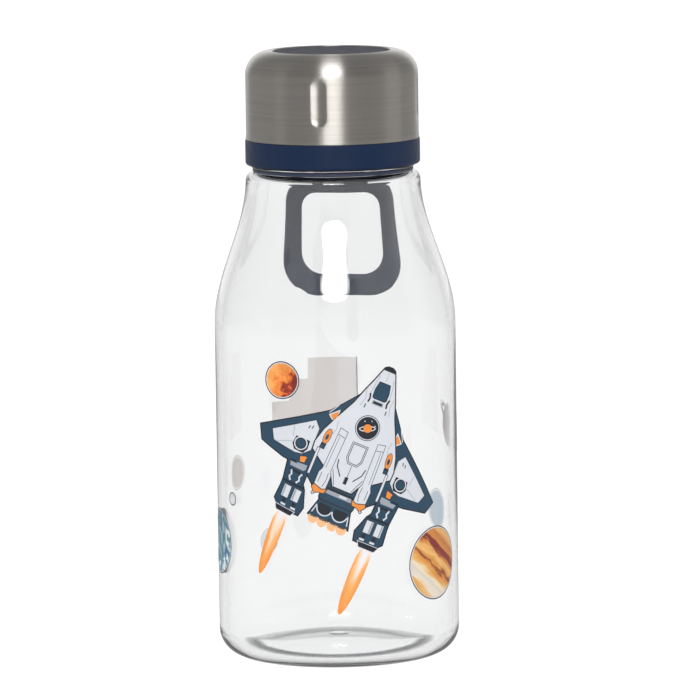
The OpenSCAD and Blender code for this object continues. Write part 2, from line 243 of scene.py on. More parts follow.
def off_axis(tree):
    """The point flattened onto the ground, and how far it is from the Z axis."""
    place = add(tree, "TexCoord", output="Object")
    flat = add(tree, "VectorMath", {0: place, 1: (1, 1, 0)}, operation="MULTIPLY")
    return flat, add(tree, "VectorMath", {0: flat}, output="Value", operation="LENGTH")


def remap(tree, value, low, high, to_low, to_high, smooth=False):
    """value, brought from the range low to high into the range to_low to to_high, and held inside it."""
    inputs = {"Value": value, "From Min": low, "From Max": high, "To Min": to_low, "To Max": to_high}
    return add(tree, "MapRange", inputs, interpolation_type="SMOOTHSTEP" if smooth else "LINEAR")


def grey(tree, level):
    return add(tree, "CombineColor", {"Red": level, "Green": level, "Blue": level})


def shaded(colour, by):
    return tuple(c * by for c in colour[:3]) + (1,)


def ramp(tree, factor, stops):
    """A colour ramp through stops, each a place and a display colour's red, green and blue."""
    out = add(tree, "ValToRGB", {"Fac": factor})
    elements = out.node.color_ramp.elements
    while len(elements) < len(stops):
        elements.new(0.5)
    for element, (place, *colour) in zip(elements, stops):
        element.position = place
        element.color = srgb(*colour)
    return out


def mixed(tree, factor, a, b, blend="MIX"):
    out = add(tree, "Mix", {"Factor": factor}, output=2, data_type="RGBA", blend_type=blend)
    sockets = out.node.inputs
    for socket, value in ((sockets[6], a), (sockets[7], b)):
        if isinstance(value, bpy.types.NodeSocket):
            tree.links.new(value, socket)
        else:
            socket.default_value = value
    return out


def bump(tree, shader, height, strength, distance):
    inputs = {"Height": height, "Strength": strength, "Distance": distance}
    tree.links.new(add(tree, "Bump", inputs), shader.inputs["Normal"])


# ------------------------------------------------------------------ materials

PLASTIC_TINT = (0.902, 0.904, 0.906, 1)
LAMP_TINT = (0.94, 0.95, 0.955, 1)
# The near-black colour of the painted shade on the standing ring's inner edge
PAINTED_SHADE_TINT = (0.04, 0.04, 0.05, 1)
# How much light a thin ink on the far side lets through
THIN_INK = 0.95


def ring_wear_and_shade(tree):
    """How stippled and worn the standing ring's inner edge is all round, and a painted shade that darkens that
    edge, in front only.
    """
    height = add(tree, "SeparateXYZ", {"Vector": add(tree, "TexCoord", output="Object")}, output="Z")
    flat, reach = off_axis(tree)
    low = remap(tree, height, 0.3 * MM, 0.7 * MM, 1.0, 0.0)
    outward = remap(tree, reach, STAND_INNER_R - 1.5 * MM, STAND_INNER_R, 0.0, 1.0)
    inward = remap(tree, reach, STAND_INNER_R + 0.9 * MM, STAND_INNER_R + 1.8 * MM, 1.0, 0.0)
    ring = calc(tree, "MULTIPLY", low, calc(tree, "MULTIPLY", outward, inward))
    stipple = remap(tree, noise(tree, object_place(tree), 1500.0, 3.0), 0.3, 0.6, 0.25, 0.6)
    worn = calc(tree, "MULTIPLY", ring, stipple)
    # Painted shade: only the front of the worn edge is darkened
    front = remap(tree, dot(tree, flat, (0, -1, 0)), 0.0, 3 * MM, 0.0, 1.0)
    return worn, remap(tree, calc(tree, "MULTIPLY", worn, front), 0.0, 0.4, 0.0, 1.0)


def clear_plastic():
    """Clear copolyester with faint moulding ripple, hairline scuffs, and a painted shade on the standing ring's
    inner edge in front. Lamps shine straight through it.
    """
    material, tree, shader = new_material("clear_plastic", Transmission_Weight=1.0, IOR=1.5)
    scuffs = noise(tree, object_place(tree, (260, 260, 2400)), 1.0, 4.0, 0.6)
    worn, painted_shade = ring_wear_and_shade(tree)
    # Painted shade: the clear tint goes towards near black on the ring's inner edge in front
    tint = mixed(tree, painted_shade, PLASTIC_TINT, PAINTED_SHADE_TINT)
    tree.links.new(tint, shader.inputs["Base Color"])
    roughness = calc(tree, "MAXIMUM", remap(tree, scuffs, 0.66, 0.8, 0.0, 0.05), worn)
    tree.links.new(roughness, shader.inputs["Roughness"])
    ripple = noise(tree, object_place(tree, (90, 90, 22)), 1.0, 1.0)
    bump(tree, shader, ripple, 0.05, 0.4 * MM)
    through = add(tree, "BsdfTransparent", {"Color": LAMP_TINT}, output="BSDF")
    lamp_ray = add(tree, "LightPath", output="Is Shadow Ray")
    both = add(tree, "MixShader", {0: lamp_ray, 1: shader.outputs["BSDF"], 2: through})
    tree.links.new(both, tree.nodes["Material Output"].inputs["Surface"])
    return material


def brushed_steel():
    """Steel sheet brushed round the lid: long hairlines in colour, roughness and height."""
    material, tree, shader = new_material(
        "brushed_lid_steel", Metallic=1.0, Anisotropic=0.98, Anisotropic_Rotation=0.25
    )
    hairs = noise(tree, object_place(tree, (45, 45, 9000)), 1.0, 4.0, 0.65)
    streaks = noise(tree, object_place(tree, (25, 25, 1500)), 1.0, 2.0)
    tone = mixed(tree, hairs, srgb(176, 172, 166), srgb(200, 196, 190))
    dulled = grey(tree, remap(tree, streaks, 0.3, 0.7, 0.88, 1.0))
    tree.links.new(mixed(tree, 1.0, tone, dulled, "MULTIPLY"), shader.inputs["Base Color"])
    tree.links.new(remap(tree, hairs, 0.3, 0.7, 0.31, 0.39), shader.inputs["Roughness"])
    tangent = add(tree, "Tangent", direction_type="RADIAL", axis="Z")
    tree.links.new(tangent, shader.inputs["Tangent"])
    bump(tree, shader, hairs, 0.25, 0.02 * MM)
    return material


def moulded_plastic(name, colour, roughness, gloss):
    """Injection-moulded navy plastic: fine satin grain, slight flow marks and rubbed patches."""
    material, tree, shader = new_material(name, IOR=1.49, Specular_IOR_Level=gloss)
    flow = noise(tree, object_place(tree, (120, 120, 60)), 1.0, 3.0)
    tree.links.new(mixed(tree, flow, shaded(colour, 0.85), shaded(colour, 1.15)), shader.inputs["Base Color"])
    rub = noise(tree, object_place(tree, (500, 500, 500)), 1.0, 4.0)
    low, high = roughness
    tree.links.new(remap(tree, rub, 0.35, 0.7, low, high), shader.inputs["Roughness"])
    grain = noise(tree, object_place(tree), 4000.0, 2.0)
    bump(tree, shader, grain, 0.05, 0.02 * MM)
    return material


def silicone(name, colour, sheen):
    """Soft silicone rubber: matt, with a dusty bloom and a fine mould texture."""
    material, tree, shader = new_material(name, IOR=1.43, Sheen_Weight=sheen, Sheen_Roughness=0.5)
    bloom = noise(tree, object_place(tree), 240.0, 4.0, 0.6)
    dusty = tuple(c + 0.025 for c in colour[:3]) + (1,)
    tree.links.new(mixed(tree, bloom, colour, dusty), shader.inputs["Base Color"])
    tree.links.new(remap(tree, bloom, 0.3, 0.7, 0.42, 0.58), shader.inputs["Roughness"])
    grain = noise(tree, object_place(tree), 5000.0, 2.0)
    bump(tree, shader, grain, 0.2, 0.03 * MM)
    return material


def art_place(tree, scale=(1, 1, 1), turn=0.0):
    """Where a point lies in its drawing, in the drawing's units, on axes turned and then stretched."""
    place = add(tree, "UVMap", uv_map=ART_MAP)
    turned = add(tree, "Mapping", {"Vector": place, "Rotation": (0, 0, -turn)})
    return add(tree, "Mapping", {"Vector": turned, "Scale": scale})


def ink_finish(tree, shader):
    """Screen-printed ink: slightly raised, with a fine mesh grain and a satin gloss."""
    grain = noise(tree, object_place(tree), 4200.0, 2.0)
    tree.links.new(remap(tree, grain, 0.3, 0.7, 0.32, 0.46), shader.inputs["Roughness"])
    bump(tree, shader, grain, 0.1, 0.02 * MM)


def ink(name, colour, variation=0.06, through=0.0):
    """Flat ink with the slight unevenness of a screen print. It lets a share of the light through."""
    material, tree, shader = new_material(name, IOR=1.45, Transmission_Weight=through)
    uneven = noise(tree, object_place(tree), 700.0, 4.0)
    tree.links.new(mixed(tree, uneven, shaded(colour, 1 - variation), colour), shader.inputs["Base Color"])
    ink_finish(tree, shader)
    return material


def planet_ink(name, pattern, stops, shade=0.35, through=0.0):
    """Ink for a planet: pattern gives each point a value, stops colour it, and its lower right is in shade."""
    material, tree, shader = new_material(name, IOR=1.45, Transmission_Weight=through)
    colour = ramp(tree, pattern(tree), stops)
    slope = add(tree, "SeparateXYZ", {"Vector": art_place(tree, (1, 1, 1), math.radians(50))})
    night = remap(tree, slope, -0.1, 1.0, 1.0, 1 - shade)
    tree.links.new(mixed(tree, 1.0, colour, grey(tree, night), "MULTIPLY"), shader.inputs["Base Color"])
    ink_finish(tree, shader)
    return material


def patches(size, lean=(0.0, 0.0)):
    """Cloudy patches, size to a planet's radius, that gather towards lean."""

    def pattern(tree):
        cloud = noise(tree, art_place(tree), size, 6.0, 0.6, 0.5)
        return calc(tree, "ADD", cloud, dot(tree, art_place(tree), (*lean, 0)))

    return pattern


def swirls(size):
    """Curled streaks of cloud."""

    def pattern(tree):
        return noise(tree, art_place(tree, (1.5, 0.8, 1), math.radians(20)), size, 7.0, 0.64, 1.8)

    return pattern


def bands(turn, ripple):
    """Rippled bands across a planet along the direction turn, from 0 on one limb to 1 on the other."""

    def pattern(tree):
        across = add(tree, "SeparateXYZ", {"Vector": art_place(tree, (1, 1, 1), turn)}, output="Y")
        broad = noise(tree, art_place(tree, (0.6, 1.6, 1), turn), 1.5, 5.0, 0.55, 0.8)
        fine = noise(tree, art_place(tree, (0.7, 9, 1), turn), 1.4, 5.0, 0.7, 0.4)
        level = remap(tree, across, -1.0, 1.0, 0.0, 1.0)
        bent = calc(tree, "ADD", level, remap(tree, broad, 0.2, 0.8, -ripple, ripple))
        return calc(tree, "ADD", bent, remap(tree, fine, 0.2, 0.8, -0.6 * ripple, 0.6 * ripple))

    return pattern


def flame_ink():
    """Ink for a flame: a pale core below the nozzle inside orange, streaked along its length."""
    material, tree, shader = new_material("ink_flame", IOR=1.45)
    place = add(tree, "SeparateXYZ", {"Vector": art_place(tree)}).node
    side = calc(tree, "ABSOLUTE", place.outputs["X"])
    off = calc(tree, "ABSOLUTE", calc(tree, "SUBTRACT", side, FLAME_X / ART_UNIT))
    edge = remap(tree, off, 0.05, 0.19, 0.0, 0.55)
    streak = remap(tree, noise(tree, art_place(tree, (9, 1.2, 1)), 1.0, 3.0), 0.3, 0.7, -0.15, 0.15)
    nozzle_y, tip_y = FLAME_HALF[0][1] / ART_UNIT, FLAME_HALF[-1][1] / ART_UNIT
    along = remap(tree, place.outputs["Y"], nozzle_y, tip_y, 0.0, 1.0)
    total = calc(tree, "ADD", calc(tree, "ADD", along, edge), streak)
    stops = [(0.1, 226, 222, 228), (0.42, 240, 204, 172), (0.6, 240, 164, 92), (1.0, 230, 142, 66)]
    tree.links.new(ramp(tree, total, stops), shader.inputs["Base Color"])
    ink_finish(tree, shader)
    return material


# ------------------------------------------------------------------ the clear body

WALL = 2.0 * MM
BASE_CORNER_R = 7.5 * MM
STAND_INNER_R = 23.5 * MM
STAND_OUTER_R = 26.5 * MM
STAND_EDGE = 0.5 * MM
PUNT_H = 3.2 * MM
GATE_MARK_R = 1.6 * MM
GATE_MARK_H = 0.3 * MM
SHOULDER_START_Z = 94 * MM
SHOULDER_TOP_Z = 137.1 * MM
SHOULDER_TOP_R = 24.6 * MM
SHOULDER_EDGE_R = 2.4 * MM
SHOULDER_EASE_Z = 135.6 * MM
NECK_R = 20.6 * MM
MOUTH_R = 18.4 * MM
BEAD_R = 22.9 * MM
BEAD_Z = 138.15 * MM
BEAD_T = 0.75 * MM
LEDGE_T = 1.5 * MM
LEDGE_EDGE_R = 0.8 * MM
FLOOR_Z = 2.3 * MM
FLOOR_CORNER_R = 5.7 * MM
THREAD_START_Z = 145.4 * MM
THREAD_H = 1.3 * MM
THREAD_ROOT = 1.1 * MM
THREAD_CREST = 0.45 * MM
THREAD_SWEEP = 1.25 * TAU
THREAD_FADE = math.radians(30)
THREAD_ROW = 0.2 * MM
ROOT_R = 0.3 * MM
RIM_EDGE_R = 0.7 * MM
# How far the shoulder's inside lies below its outside
INSIDE_DROP = 1.5 * MM
WAVE = 0.025 * MM


def ridge(angle, z, start_z):
    """How far a right-hand thread ridge stands out at an angle and a height."""
    for turn in range(3):
        along = angle + turn * TAU
        if along > THREAD_SWEEP:
            break
        off = abs(z - start_z - TURN_LEAD * along / TAU)
        if off < THREAD_ROOT:
            flank = min(1, (THREAD_ROOT - off) / (THREAD_ROOT - THREAD_CREST))
            fade = min(1, along / THREAD_FADE, (THREAD_SWEEP - along) / THREAD_FADE)
            return THREAD_H * max(0, fade) * flank * flank * (3 - 2 * flank)
    return 0.0


def outside_profile():
    """The body's section from the axis under the floor, out and up to the neck's root."""
    section = [(0, PUNT_H - GATE_MARK_H), (GATE_MARK_R * 0.8, PUNT_H - GATE_MARK_H)]
    section += dome(STAND_INNER_R, STAND_EDGE * 0.2, PUNT_H, GATE_MARK_R)
    section += [(STAND_INNER_R + STAND_EDGE, 0)]
    section += arc(STAND_OUTER_R, BASE_CORNER_R, BASE_CORNER_R, -90, 0, 24)
    section += straight((BODY_R, BASE_CORNER_R), (BODY_R, SHOULDER_START_Z), 24)
    edge_r, edge_z = SHOULDER_TOP_R - SHOULDER_EDGE_R, SHOULDER_TOP_Z - SHOULDER_EDGE_R
    shoulder = drawn_in(BODY_R, SHOULDER_START_Z, SHOULDER_TOP_R, SHOULDER_EASE_Z, 64)
    section += [p for p in shoulder if p[1] < edge_z - 1 * MM]
    section += arc(edge_r, edge_z, SHOULDER_EDGE_R, 0, 90, 20)
    section += straight((edge_r, SHOULDER_TOP_Z), (NECK_R + ROOT_R, SHOULDER_TOP_Z), 4)
    return section + arc(NECK_R + ROOT_R, SHOULDER_TOP_Z + ROOT_R, ROOT_R, 270, 180, 6)


def neck_profile():
    """The section up the neck: over its bead, up its threaded wall and round its rim."""
    bead_round = BEAD_T / 2
    bead_end = BEAD_R - bead_round
    section = straight((NECK_R, BEAD_Z), (bead_end, BEAD_Z), 4)
    section += arc(bead_end, BEAD_Z + bead_round, bead_round, -90, 90, 12)
    section += straight((bead_end, BEAD_Z + BEAD_T), (NECK_R, BEAD_Z + BEAD_T + 0.6 * MM), 4)
    low, high = BEAD_Z + BEAD_T + 0.8 * MM, RIM_Z - 1.2 * MM
    rows = int((high - low) / THREAD_ROW)
    section += [(NECK_R, low + (high - low) * i / rows) for i in range(rows + 1)]
    section += arc(NECK_R - RIM_EDGE_R, RIM_Z - RIM_EDGE_R, RIM_EDGE_R, 0, 90, 8)
    return section + arc(MOUTH_R + RIM_EDGE_R, RIM_Z - RIM_EDGE_R, RIM_EDGE_R, 90, 180, 8)


def inside_profile():
    """The section down inside, from the mouth to the axis over the domed floor."""
    top_r, top_z = SHOULDER_TOP_R - WALL, SHOULDER_TOP_Z - LEDGE_T
    soft = LEDGE_EDGE_R
    section = straight((MOUTH_R, RIM_Z - RIM_EDGE_R), (MOUTH_R, top_z + soft), 12)
    section += arc(MOUTH_R + soft, top_z + soft, soft, 180, 270, 10)
    section += arc(top_r - soft, top_z - soft, soft, 90, 0, 10)
    inner_r = BODY_R - WALL
    start_z = SHOULDER_START_Z - INSIDE_DROP
    shoulder = drawn_in(top_r, SHOULDER_EASE_Z - INSIDE_DROP, inner_r, start_z, 64)
    section += [p for p in shoulder if p[1] < top_z - soft - 0.5 * MM]
    corner_r, corner_z = inner_r - FLOOR_CORNER_R, FLOOR_Z + FLOOR_CORNER_R
    section += straight((inner_r, start_z), (inner_r, corner_z), 24)
    section += arc(corner_r, corner_z, FLOOR_CORNER_R, 0, -78, 20)
    return section + dome(corner_r - 0.6 * MM, FLOOR_Z + 0.05 * MM, PUNT_H)[::-1]


def body_shape(r, z, angle):
    """The thread on the neck, and the slight unevenness that blowing leaves inside the wall."""
    if abs(r - NECK_R) < 1e-7 and z > BEAD_Z + 2 * MM:
        return r + ridge(angle, z, THREAD_START_Z)
    inside = FLOOR_Z + 4 * MM < z < SHOULDER_TOP_Z - 4 * MM and r < BODY_R - WALL + 1e-6
    if inside and r > MOUTH_R:
        wave = math.sin(3 * angle + 40 * z) + 0.6 * math.sin(7 * angle - 70 * z + 1)
        return r + WAVE * (wave + 0.4 * math.sin(13 * angle + 25 * z + 2))
    return r


def make_bottle():
    bm = bmesh.new()
    lathe(bm, outside_profile() + neck_profile() + inside_profile(), even_angles(240), body_shape)
    bottle = finish_mesh("bottle_shell", bm, [clear_plastic()])
    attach(bottle, "bottle")
    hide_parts("bottle_body")


# ------------------------------------------------------------------ the lid

STEEL_T = 0.5 * MM
STEEL_CORNER_R = 6.5 * MM
STEEL_TAPER = 0.1 * MM
FLUTE_COUNT = 4
FLUTE_W = 4.2 * MM
FLUTE_LEN = 13 * MM
FLUTE_DEPTH = 0.35 * MM
FLUTE_Z = 157.8 * MM
FLUTE_TURN = math.radians(-94.5)
FLUTE_EDGE = 0.12 * MM
LEDGE_Z = LID_TOP_Z - 1.6 * MM
LEDGE_HOLE_R = 12.5 * MM
SEAT_Z = RIM_Z + 1.5 * MM
PLATE_TOP_Z = SEAT_Z + 1.8 * MM
BORE_R = NECK_R + THREAD_H + 0.4 * MM
SKIRT_R = STEEL_R - STEEL_T - 0.1 * MM
SKIRT_TOP_Z = 163.5 * MM
SKIRT_T = 1.2 * MM
BAND_EDGE_R = 0.9 * MM
BORE_ROWS = 80
PLUG_R = MOUTH_R - 0.2 * MM
PLUG_BOTTOM_Z = 152.5 * MM
PLUG_TIP_R = 0.7 * MM
BOSS_R = 13.6 * MM
BOSS_T = 1.4 * MM
RIB_COUNT = 8
RIB_TOP_Z = 166 * MM
LEG_COUNT = 6
LEG_W = 4 * MM
LEG_LOW_Z = 165.5 * MM


def flute_depth(angle, z, grow=0.0):
    """How deep the pressed flutes go at an angle and a height. grow widens them, for the faces behind."""
    step = TAU / FLUTE_COUNT
    off = (angle - FLUTE_TURN + step / 2) % step - step / 2
    beyond = max(abs(z - FLUTE_Z) - (FLUTE_LEN - FLUTE_W) / 2, 0)
    reach = math.hypot(off * STEEL_R, beyond)
    ball_r = ((FLUTE_W / 2) ** 2 + FLUTE_DEPTH**2) / (2 * FLUTE_DEPTH)
    if reach >= ball_r + grow:
        return 0.0
    depth = math.sqrt((ball_r + grow) ** 2 - reach**2) - (ball_r - FLUTE_DEPTH)
    if depth < -3 * FLUTE_EDGE:
        return 0.0
    return (depth + math.sqrt(depth**2 + FLUTE_EDGE**2)) / 2


def flute_angles():
    """Angles round the lid, close together across each flute."""
    step = TAU / FLUTE_COUNT
    fine_half = (FLUTE_W / 2 + 1.2 * MM) / STEEL_R
    fine = [-fine_half + 2 * fine_half * i / 36 for i in range(36)]
    gap = step - 2 * fine_half
    coarse = [fine_half + gap * i / 28 for i in range(28)]
    return [FLUTE_TURN + k * step + a for k in range(FLUTE_COUNT) for a in fine + coarse]


def flute_rows(r, low, high, up=True):
    """Rows up the steel wall at radius r, close together where the flutes are."""
    flute_low = FLUTE_Z - FLUTE_LEN / 2 - 0.6 * MM
    flute_high = min(FLUTE_Z + FLUTE_LEN / 2 + 0.6 * MM, high)
    rows = straight((r, low), (r, flute_low), 8)
    rows += [(r, flute_low + (flute_high - flute_low) * i / 70) for i in range(71)]
    rows += [(r, high)]
    return rows if up else rows[::-1]


def make_steel_cap():
    """The pressed steel shell: tapered wall, rolled lower edge, round corner, and a lip round the disc."""
    corner_x = STEEL_R - STEEL_TAPER - STEEL_CORNER_R
    corner_z = LID_TOP_Z - STEEL_CORNER_R
    wall_r = STEEL_R - STEEL_TAPER
    lip_r = DISC_R + 0.2 * MM
    low = BAND_TOP_Z + 0.05 * MM
    half_t = STEEL_T / 2
    lip = 0.25 * MM
    section = arc(STEEL_R - half_t, low + half_t, half_t, 180, 360, 10)
    section += flute_rows(wall_r, low + 2 * MM, corner_z)
    section += arc(corner_x, corner_z, STEEL_CORNER_R, 0, 90, 30)
    section += arc(lip_r + lip, LID_TOP_Z - lip, lip, 90, 180, 8)
    section += straight((lip_r, LID_TOP_Z - lip), (lip_r, LEDGE_Z), 3)
    section += [(LEDGE_HOLE_R, LEDGE_Z), (LEDGE_HOLE_R, LEDGE_Z - STEEL_T)]
    section += [(lip_r + STEEL_T, LEDGE_Z - STEEL_T), (lip_r + STEEL_T, LID_TOP_Z - STEEL_T)]
    section += arc(corner_x, corner_z, STEEL_CORNER_R - STEEL_T, 90, 0, 16)
    section += flute_rows(wall_r - STEEL_T, low + 2 * MM, corner_z, up=False)

    def pressed(r, z, angle):
        if r < corner_x:
            return r
        outer = r > wall_r - STEEL_T / 2
        return r - flute_depth(angle, z, 0.0 if outer else STEEL_T * 0.3)

    bm = bmesh.new()
    lathe(bm, section, flute_angles(), pressed)
    cap = finish_mesh("steel_shell", bm, [brushed_steel()], 50)
    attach(cap, "lid")
    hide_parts("steel_cap")


def liner_inside():
    """The liner's section from the axis under its plate, round the plug and down the threaded bore."""
    section = [(0, SEAT_Z), (PLUG_R - 1.8 * MM, SEAT_Z)]
    section += arc(PLUG_R - 1.8 * MM, SEAT_Z - 0.4 * MM, 0.4 * MM, 90, 0, 5)
    section += [(PLUG_R - 2 * PLUG_TIP_R, PLUG_BOTTOM_Z + 0.3 * MM)]
    section += arc(PLUG_R - PLUG_TIP_R, PLUG_BOTTOM_Z + PLUG_TIP_R, PLUG_TIP_R, 180, 360, 12)
    section += [(PLUG_R, SEAT_Z), (BORE_R, SEAT_Z)]
    top, low = SEAT_Z - 0.3 * MM, LID_BOTTOM_Z + 2.2 * MM
    section += [(BORE_R, top + (low - top) * i / BORE_ROWS) for i in range(BORE_ROWS + 1)]
    return section + [(BORE_R + 0.3 * MM, LID_BOTTOM_Z + 1.9 * MM), (BORE_R + 0.3 * MM, LID_BOTTOM_Z)]


def liner_outside():
    """The section up the band and the skirt, and in over the plate and its boss to the axis."""
    band_low, band_round = LID_BOTTOM_Z + BAND_EDGE_R, 0.2 * MM
    section = arc(BAND_R - BAND_EDGE_R, band_low, BAND_EDGE_R, -90, 0, 10)
    section += straight((BAND_R, band_low), (BAND_R, BAND_TOP_Z - 0.25 * MM), 6)
    section += arc(BAND_R - band_round, BAND_TOP_Z - band_round, band_round, 0, 90, 5)
    skirt_r, boss_r, boss_z = SKIRT_R - SKIRT_T, BOSS_R + BOSS_T, LEDGE_Z - STEEL_T
    section += [(SKIRT_R, BAND_TOP_Z), (SKIRT_R, SKIRT_TOP_Z), (skirt_r, SKIRT_TOP_Z), (skirt_r, PLATE_TOP_Z)]
    section += [(boss_r, PLATE_TOP_Z), (boss_r, boss_z), (BOSS_R, boss_z), (BOSS_R, PLATE_TOP_Z)]
    return section + [(0, PLATE_TOP_Z)]


def make_liner():
    """The navy inner lid: trim band, threaded bore, plug for the mouth, and boss and ribs under the steel."""
    start_z = THREAD_START_Z - TURN_LEAD / 2

    def threaded(r, z, angle):
        if abs(r - BORE_R) < 1e-7:
            return r - ridge(angle, z, start_z)
        return r - (flute_depth(angle, z, STEEL_T) if abs(r - SKIRT_R) < 1e-7 else 0)

    bm = bmesh.new()
    lathe(bm, liner_inside() + liner_outside(), even_angles(192), threaded)
    for i in range(RIB_COUNT):
        rib_low = (BOSS_R + 0.7 * MM, -0.6 * MM, PLATE_TOP_Z - 0.1 * MM)
        bar_box(bm, rib_low, (SKIRT_R - 1.4 * MM, 0.6 * MM, RIB_TOP_Z), (i + 0.5) * TAU / RIB_COUNT)
    plastic = moulded_plastic("navy_plastic", srgb(21, 36, 62), (0.3, 0.42), 0.2)
    liner = finish_mesh("lid_liner_shell", bm, [plastic], 35)
    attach(liner, "lid")
    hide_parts("lid_liner")


def make_disc():
    """The navy disc let into the lid: a soft-edged, slightly dished top, held by snap legs."""
    edge = 0.5 * MM
    dish = 0.12 * MM
    section = [(0, LEDGE_Z), (DISC_R - 0.2 * MM, LEDGE_Z), (DISC_R, LEDGE_Z + 0.2 * MM)]
    section += arc(DISC_R - edge, DISC_TOP_Z - edge, edge, 0, 90, 10)
    section += dome(DISC_R - edge, DISC_TOP_Z, -dish, steps=24)[::-1]
    bm = bmesh.new()
    lathe(bm, section, even_angles(160))
    outer = LEDGE_HOLE_R - 0.2 * MM
    for i in range(LEG_COUNT):
        turn = i * TAU / LEG_COUNT
        leg_low = (outer - 1.4 * MM, -LEG_W / 2, LEG_LOW_Z)
        bar_box(bm, leg_low, (outer, LEG_W / 2, LEDGE_Z + 0.2 * MM), turn)
        hook_top = LEDGE_Z - STEEL_T - 0.15 * MM
        hook_low = (outer - 0.2 * MM, -LEG_W / 2, hook_top - 1 * MM)
        bar_box(bm, hook_low, (outer + 0.6 * MM, LEG_W / 2, hook_top), turn)
    plastic = moulded_plastic("navy_disc", srgb(16, 21, 42), (0.5, 0.56), 0.1)
    plate = finish_mesh("lid_disc", bm, [plastic], 40)
    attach(plate, "lid")
    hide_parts("top_disc")


def make_seal():
    """The silicone ring that the lid presses on the rim, with a raised bead on each face's edge."""
    outer = NECK_R + THREAD_H
    inner = MOUTH_R + 0.2 * MM
    soft = 0.35 * MM
    section = arc(outer - soft, RIM_Z + soft, soft, -90, 0, 6)
    section += arc(outer - soft, SEAT_Z - soft, soft, 0, 90, 6)
    section += [((outer + inner) / 2, SEAT_Z - 0.15 * MM)]
    section += arc(inner + soft, SEAT_Z - soft, soft, 90, 180, 6)
    section += arc(inner + soft, RIM_Z + soft, soft, 180, 270, 6)
    bm = bmesh.new()
    lathe(bm, section, even_angles(128))
    seal = finish_mesh("seal_ring", bm, [silicone("white_silicone", srgb(226, 226, 222), 0.1)], 60)
    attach(seal, "seal")
    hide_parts("lid_seal")


# ------------------------------------------------------------------ the carry strap

RING_R = 22.7 * MM
RING_LOW_Z, RING_HIGH_Z = 137.15 * MM, 138.1 * MM
LOOP_LEAN = math.radians(14)
LOOP_T = 2.2 * MM
LOOP_LEN = 40.6 * MM
STEM_W = 17 * MM
# Each frame outline: its top edge, half width and corner radius there, then the same at its lower edge
LOOP_OUTER = (7.3 * MM, 17.6 * MM, 6 * MM, LOOP_LEN, 18.5 * MM, 10.8 * MM)
LOOP_GAP = (10.7 * MM, 12.2 * MM, 4.5 * MM, LOOP_LEN - 6.2 * MM, 12.5 * MM, 6.5 * MM)


def frame_outline(shape, steps=16):
    """A rounded outline, (across, down), clockwise from its upper right corner."""
    top, top_half, top_r, low, low_half, low_r = shape
    right = arc(top_half - top_r, top + top_r, top_r, -90, 0, steps)
    right += arc(low_half - low_r, low - low_r, low_r, 0, 90, steps)
    left = [(-x, y) for x, y in reversed(right)]
    return evenly(right + left, 128)


def evenly(points, count):
    """The closed outline again, as count points an equal distance apart."""
    closed = points + points[:1]
    reach = [0.0]
    for a, b in zip(closed, closed[1:]):
        reach.append(reach[-1] + math.dist(a, b))
    made = []
    k = 0
    for i in range(count):
        want = reach[-1] * i / count
        while reach[k + 1] < want:
            k += 1
        share = (want - reach[k]) / max(reach[k + 1] - reach[k], 1e-12)
        a, b = closed[k], closed[k + 1]
        made.append((a[0] + (b[0] - a[0]) * share, a[1] + (b[1] - a[1]) * share))
    return made


def squircle(count, power):
    """Points round a rounded square of half width 1."""
    turns = [TAU * (k / count) for k in range(count)]
    rounds = [(math.cos(t), math.sin(t)) for t in turns]
    return [tuple(math.copysign(abs(c) ** (2 / power), c) for c in p) for p in rounds]


def hanging(across, down, out=0.0):
    """A place on the hanging loop: across it, down from its fold, and out from its middle plane."""
    y = FOLD.y + down * math.sin(LOOP_LEAN) + out * math.cos(LOOP_LEAN)
    z = FOLD.z - down * math.cos(LOOP_LEAN) + out * math.sin(LOOP_LEAN)
    return Vector((across, y, z))


def loop_frame(bm):
    """The loop's four bars, as one round-edged ring."""
    sections = []
    for (ox, oy), (ix, iy) in zip(frame_outline(LOOP_OUTER), frame_outline(LOOP_GAP)):
        section = []
        for across, out in squircle(20, 3.2):
            share = (1 + across) / 2
            section.append(hanging(ix + (ox - ix) * share, iy + (oy - iy) * share, out * LOOP_T / 2))
        sections.append(section)
    loft(bm, sections, closed=True)


def stem_path():
    """Middle line of the stem: out from the ring, over the fold and down into the loop's top bar."""
    ring_z = (RING_LOW_Z + RING_HIGH_Z) / 2
    start = Vector((0, RING_R - 1.2 * MM, ring_z))
    bend = Vector((0, FOLD.y + 0.1 * MM, ring_z + 0.1 * MM))
    end = hanging(0, 9 * MM)
    shares = [i / 18 for i in range(19)]
    return [start * (1 - t) ** 3 + bend * (3 * t * (1 - t)) + end * t**3 for t in shares]


def stem(bm):
    path = stem_path()
    sections = []
    for i, middle in enumerate(path):
        ahead = (path[min(i + 1, len(path) - 1)] - path[max(i - 1, 0)]).normalized()
        out = Vector((1, 0, 0)).cross(ahead)
        half_t = (RING_HIGH_Z - RING_LOW_Z) / 2 + 0.5 * MM * min(1, i / 12)
        ring = squircle(36, 7)
        sections.append([middle + Vector((x * STEM_W / 2, 0, 0)) + out * up * half_t for x, up in ring])
    loft(bm, sections, closed=False)


